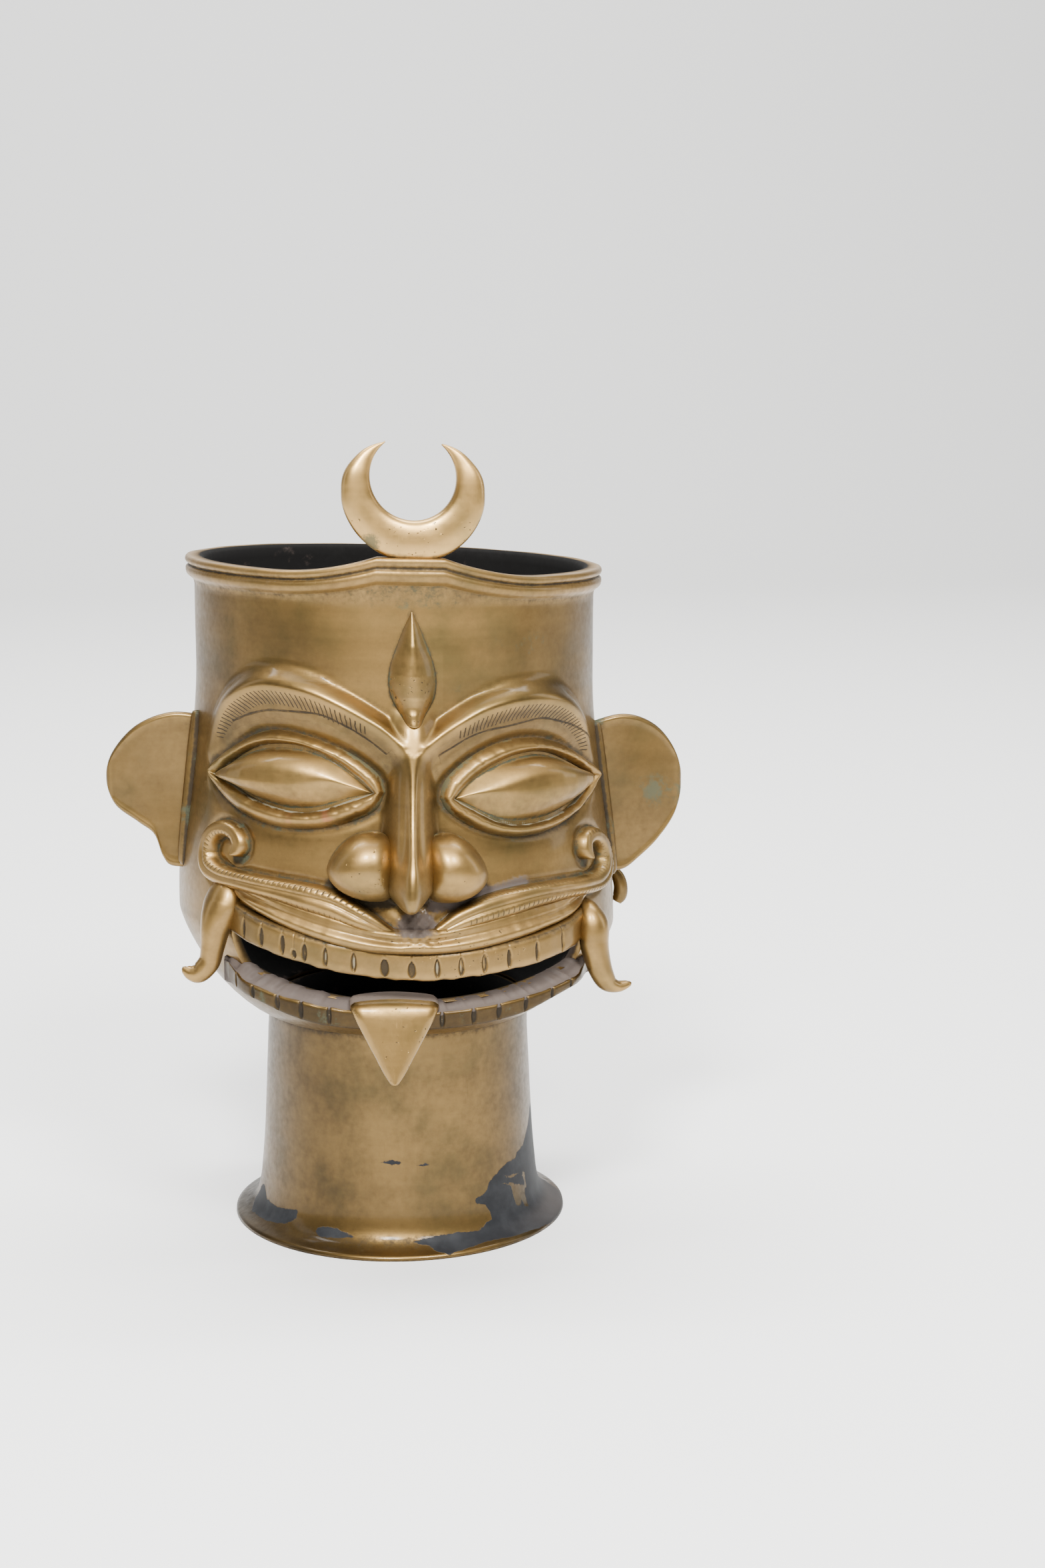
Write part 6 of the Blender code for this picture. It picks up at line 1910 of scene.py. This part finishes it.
class MASK_OT_moon(Operator):
    """Adds the crescent and the web behind the rim that carries it"""

    bl_idname = "mask.moon"
    bl_label = "Moon"

    def execute(self, context):
        self.crescent(context.scene.mask_moon)
        self.seat()
        return {"FINISHED"}

    @staticmethod
    def circle_distance(across, up, offset, rise, radius):
        """How far a circle lies from the moon's centre in each direction."""
        along = across * offset + up * rise
        return along + np.sqrt(np.maximum(along ** 2 - offset ** 2 - rise ** 2 + radius ** 2, 0.0))

    def crescent(self, sizes):
        centre, seat_y = 264.6, 1.2 - FOREHEAD_HALF * FRONT_SHARE
        radius, hollow, thickness = millimetres("mask_moon", "radius", "hollow", "thickness")
        turn = np.linspace(sizes.left_tip, 2.0 * math.pi + sizes.right_tip, 190)
        across, up = np.cos(turn), np.sin(turn)
        horned = self.circle_distance(across, up, np.where(across > 0.0, 6.9, -6.9), -1.6, 16.5)
        outer = between(radius, np.minimum(radius, horned), ease((up + 0.30) / 0.30))
        down = up < -0.05
        flat = (centre - SEAT_TOP + 1.2) / np.where(down, -up, 1.0)
        outer = np.where(down, np.minimum(outer, flat), outer)
        inner = self.circle_distance(across, up, 0.0, 3.8, hollow)
        outer = np.maximum(outer, inner + 0.5)
        outer = outer + 0.18 * np.sin(turn * 9.0) * ease((outer - inner - 3.0) / 4.0) * ease((up + 0.3) / 0.3)
        half = 0.5 * thickness * between(0.24, 1.0, ease((outer - inner) / (radius - hollow)))
        out, front = np.array(MOON_SECTION).T[:, None, :]
        reach = inner[:, None] + (outer - inner)[:, None] * out
        x, z = 1.1 + across[:, None] * reach, centre + up[:, None] * reach
        foot = near(x + 13.0, 5.0) * near(z - 247.0, 5.0)
        marks = {
            "green": 0.80 * foot + 0.30 * ease((z - 275.0) / 6.0) + 0.3 * ease((0.12 - out) / 0.1),
            "grime_and_shade": 0.7 * ease((244.6 - z) / 2.2) + 0.25 * (front > 0.3),
            "polish_and_sheen": 0.35 + 0.45 * ease((np.abs(out - 0.5) * 2.0 - 0.55) / 0.3),
            "pitted": 0.45 * near(z - 250.0, 8.0),
        }
        points = np.stack([x, seat_y + half[:, None] * front, z], axis=-1)
        # A brighter copy of the brass: painted light on the moon.
        lofted("moon", points, brass_finish("brightened_moon_brass", 0.34, 0.0, 1.7), marks=marks)

    @staticmethod
    def seat():
        """The web behind the rim, thickest in its middle."""
        share = np.linspace(-1.0, 1.0, 100)
        middle = ease(1.0 - np.abs(share))
        x = 1.1 + share * 42.32
        outer = 1.0 - FOREHEAD_HALF * FRONT_SHARE * np.sqrt(1.0 - (x / FOREHEAD_HALF) ** 2)
        inner = outer + between(4.5, 12.0, middle)
        lift = (SEAT_TOP - RIM_TOP) * MASK_OT_head.rim_climb(np.degrees(np.arcsin(x / FOREHEAD_HALF)))
        top = RIM_TOP - 1.2 + lift
        low = top - between(3.0, 9.0, middle)
        rings = []
        for way, level in ((0.0, 0.0), (0.3, 0.35), (0.7, 0.35), (0.93, 0.1), (1.0, -0.5), (0.98, -1.2)):
            rings.append(np.stack([x, between(outer, inner, way), top + level], axis=-1))
        for way in (0.75, 0.4, 0.0):
            rings.append(np.stack([x, between(outer, inner, way), between(low, top - 2.2, way)], axis=-1))
        points = np.array(rings).transpose(1, 0, 2)
        lofted("moon_seat", points, feature_brass(), marks={"green": 0.45, "grime_and_shade": 0.55})


class MASK_OT_stage(Operator):
    """Sets up the pale floor, the soft lights and the camera"""

    bl_idname = "mask.stage"
    bl_label = "Studio"

    def execute(self, context):
        studio = context.scene.mask_studio
        self.floor(context, studio)
        self.lights(context, studio)
        camera = bpy.data.cameras.new("camera")
        camera.lens = studio.lens
        camera.sensor_width = 36.0
        camera.clip_start = 0.01
        holder = bpy.data.objects.new("camera", camera)
        holder.location = studio.camera_place
        holder.rotation_euler = (math.pi / 2 - studio.camera_pitch, 0.0, -studio.camera_heading)
        context.scene.collection.objects.link(holder)
        context.scene.camera = holder
        return {"FINISHED"}

    @staticmethod
    def floor(context, studio):
        deselect()
        bpy.ops.mesh.primitive_plane_add(size=1.0, location=(0.0, 0.0, 0.0))
        floor = context.active_object
        floor.name = floor.data.name = "studio_floor"
        width, back, front, height = 8.0, 2.2, -3.0, 2.0
        bend, steps = 1.2, 14
        for vertex in floor.data.vertices:
            vertex.co.x *= width
            vertex.co.y = back if vertex.co.y > 0.0 else front
        bpy.ops.object.mode_set(mode="EDIT")
        bpy.ops.mesh.select_all(action="DESELECT")
        bpy.ops.object.mode_set(mode="OBJECT")
        for edge in floor.data.edges:
            edge.select = all(floor.data.vertices[end].co.y > 0.0 for end in edge.vertices)
        bpy.ops.object.mode_set(mode="EDIT")
        bpy.ops.mesh.select_mode(type="EDGE")
        for step in range(steps):
            start, end = (0.5 * math.pi * part / steps for part in (step, step + 1))
            move = (0.0, bend * (math.sin(end) - math.sin(start)), bend * (math.cos(start) - math.cos(end)))
            bpy.ops.mesh.extrude_region_move(TRANSFORM_OT_translate={"value": move})
        bpy.ops.mesh.extrude_region_move(TRANSFORM_OT_translate={"value": (0.0, 0.0, height)})
        bpy.ops.mesh.select_all(action="SELECT")
        bpy.ops.mesh.normals_make_consistent(inside=True)
        bpy.ops.object.mode_set(mode="OBJECT")
        if len(floor.data.polygons) != steps + 2:
            raise RuntimeError("The floor's sweep was not made")
        floor.data.shade_smooth()
        made = bpy.data.materials.new("studio_paper")
        made.use_nodes = True
        shader = made.node_tree.nodes["Principled BSDF"]
        shader.inputs["Base Color"].default_value = studio.floor_colour
        shader.inputs["Roughness"].default_value = 0.9
        shader.inputs["Specular IOR Level"].default_value = 0.2
        floor.data.materials.append(made)

    @staticmethod
    def lights(context, studio):
        world = bpy.data.worlds.new("studio_room")
        world.use_nodes = True
        room = world.node_tree.nodes["Background"]
        room.inputs["Color"].default_value = (0.95, 0.94, 0.92, 1.0)
        room.inputs["Strength"].default_value = studio.ambient
        context.scene.world = world
        mask, paper = (0.0, -0.02, 0.17), (0.0, 3.0, 0.5)
        key, side = studio.key_power, studio.side_power
        for name, place, target, size, power in (
                ("key", (-0.26, -0.95, 1.05), mask, (0.26, 0.26), key * 0.9),
                ("second", (0.36, -0.95, 1.10), mask, (0.34, 0.34), key * 0.62),
                ("top", (0.0, 0.35, 1.55), mask, (1.4, 1.0), key * 0.6),
                ("left", (-1.15, 0.10, 0.60), mask, (0.3, 0.9), side * 0.20),
                ("right", (1.20, -0.05, 0.60), mask, (0.3, 0.9), side * 0.45),
                ("back", (0.0, 0.5, 2.3), paper, (3.0, 0.8), side * 20.0)):
            lamp = bpy.data.lights.new(name, "AREA")
            lamp.shape = "RECTANGLE"
            lamp.size, lamp.size_y = size
            lamp.energy = power
            holder = bpy.data.objects.new(name, lamp)
            holder.location = place
            holder.rotation_euler = (Vector(target) - Vector(place)).to_track_quat("-Z", "Y").to_euler()
            context.scene.collection.objects.link(holder)


class MASK_PT_panel(Panel):
    """Lists the mask's pieces in the order they are made"""

    bl_label = "Mukhalinga Mask"
    bl_idname = "MASK_PT_panel"
    bl_space_type = "VIEW_3D"
    bl_region_type = "UI"
    bl_category = "Mask"

    def draw(self, context):
        column = self.layout.column(align=True)
        for operator in PIECES:
            column.operator(operator.bl_idname)
        for group in GROUPS:
            sizes = getattr(context.scene, GROUPS[group])
            box = self.layout.box()
            for label in group.__annotations__:
                box.prop(sizes, label)


GROUPS = {
    MaskCastingSizes: "mask_casting",
    MaskFeatureSizes: "mask_features",
    MaskMoonSizes: "mask_moon",
    MaskEarSizes: "mask_ears",
    MaskFinish: "mask_finish",
    MaskStudio: "mask_studio",
}
PIECES = (MASK_OT_head, MASK_OT_neck, MASK_OT_eyes, MASK_OT_third_eye, MASK_OT_nose_wings, MASK_OT_moustaches,
          MASK_OT_mouth, MASK_OT_tusks, MASK_OT_tongue, MASK_OT_ears, MASK_OT_moon, MASK_OT_stage)


def register():
    for made in (*GROUPS, *PIECES, MASK_PT_panel):
        bpy.utils.register_class(made)
    for group, label in GROUPS.items():
        setattr(bpy.types.Scene, label, PointerProperty(type=group))


def unregister():
    for label in GROUPS.values():
        delattr(bpy.types.Scene, label)
    for made in reversed((*GROUPS, *PIECES, MASK_PT_panel)):
        bpy.utils.unregister_class(made)


def main():
    register()
    for step in (bpy.ops.mask.head, bpy.ops.mask.neck, bpy.ops.mask.eyes, bpy.ops.mask.third_eye,
                 bpy.ops.mask.nose_wings, bpy.ops.mask.moustaches, bpy.ops.mask.mouth, bpy.ops.mask.tusks,
                 bpy.ops.mask.tongue, bpy.ops.mask.ears, bpy.ops.mask.moon, bpy.ops.mask.stage):
        step()


if __name__ == "__main__":
    main()
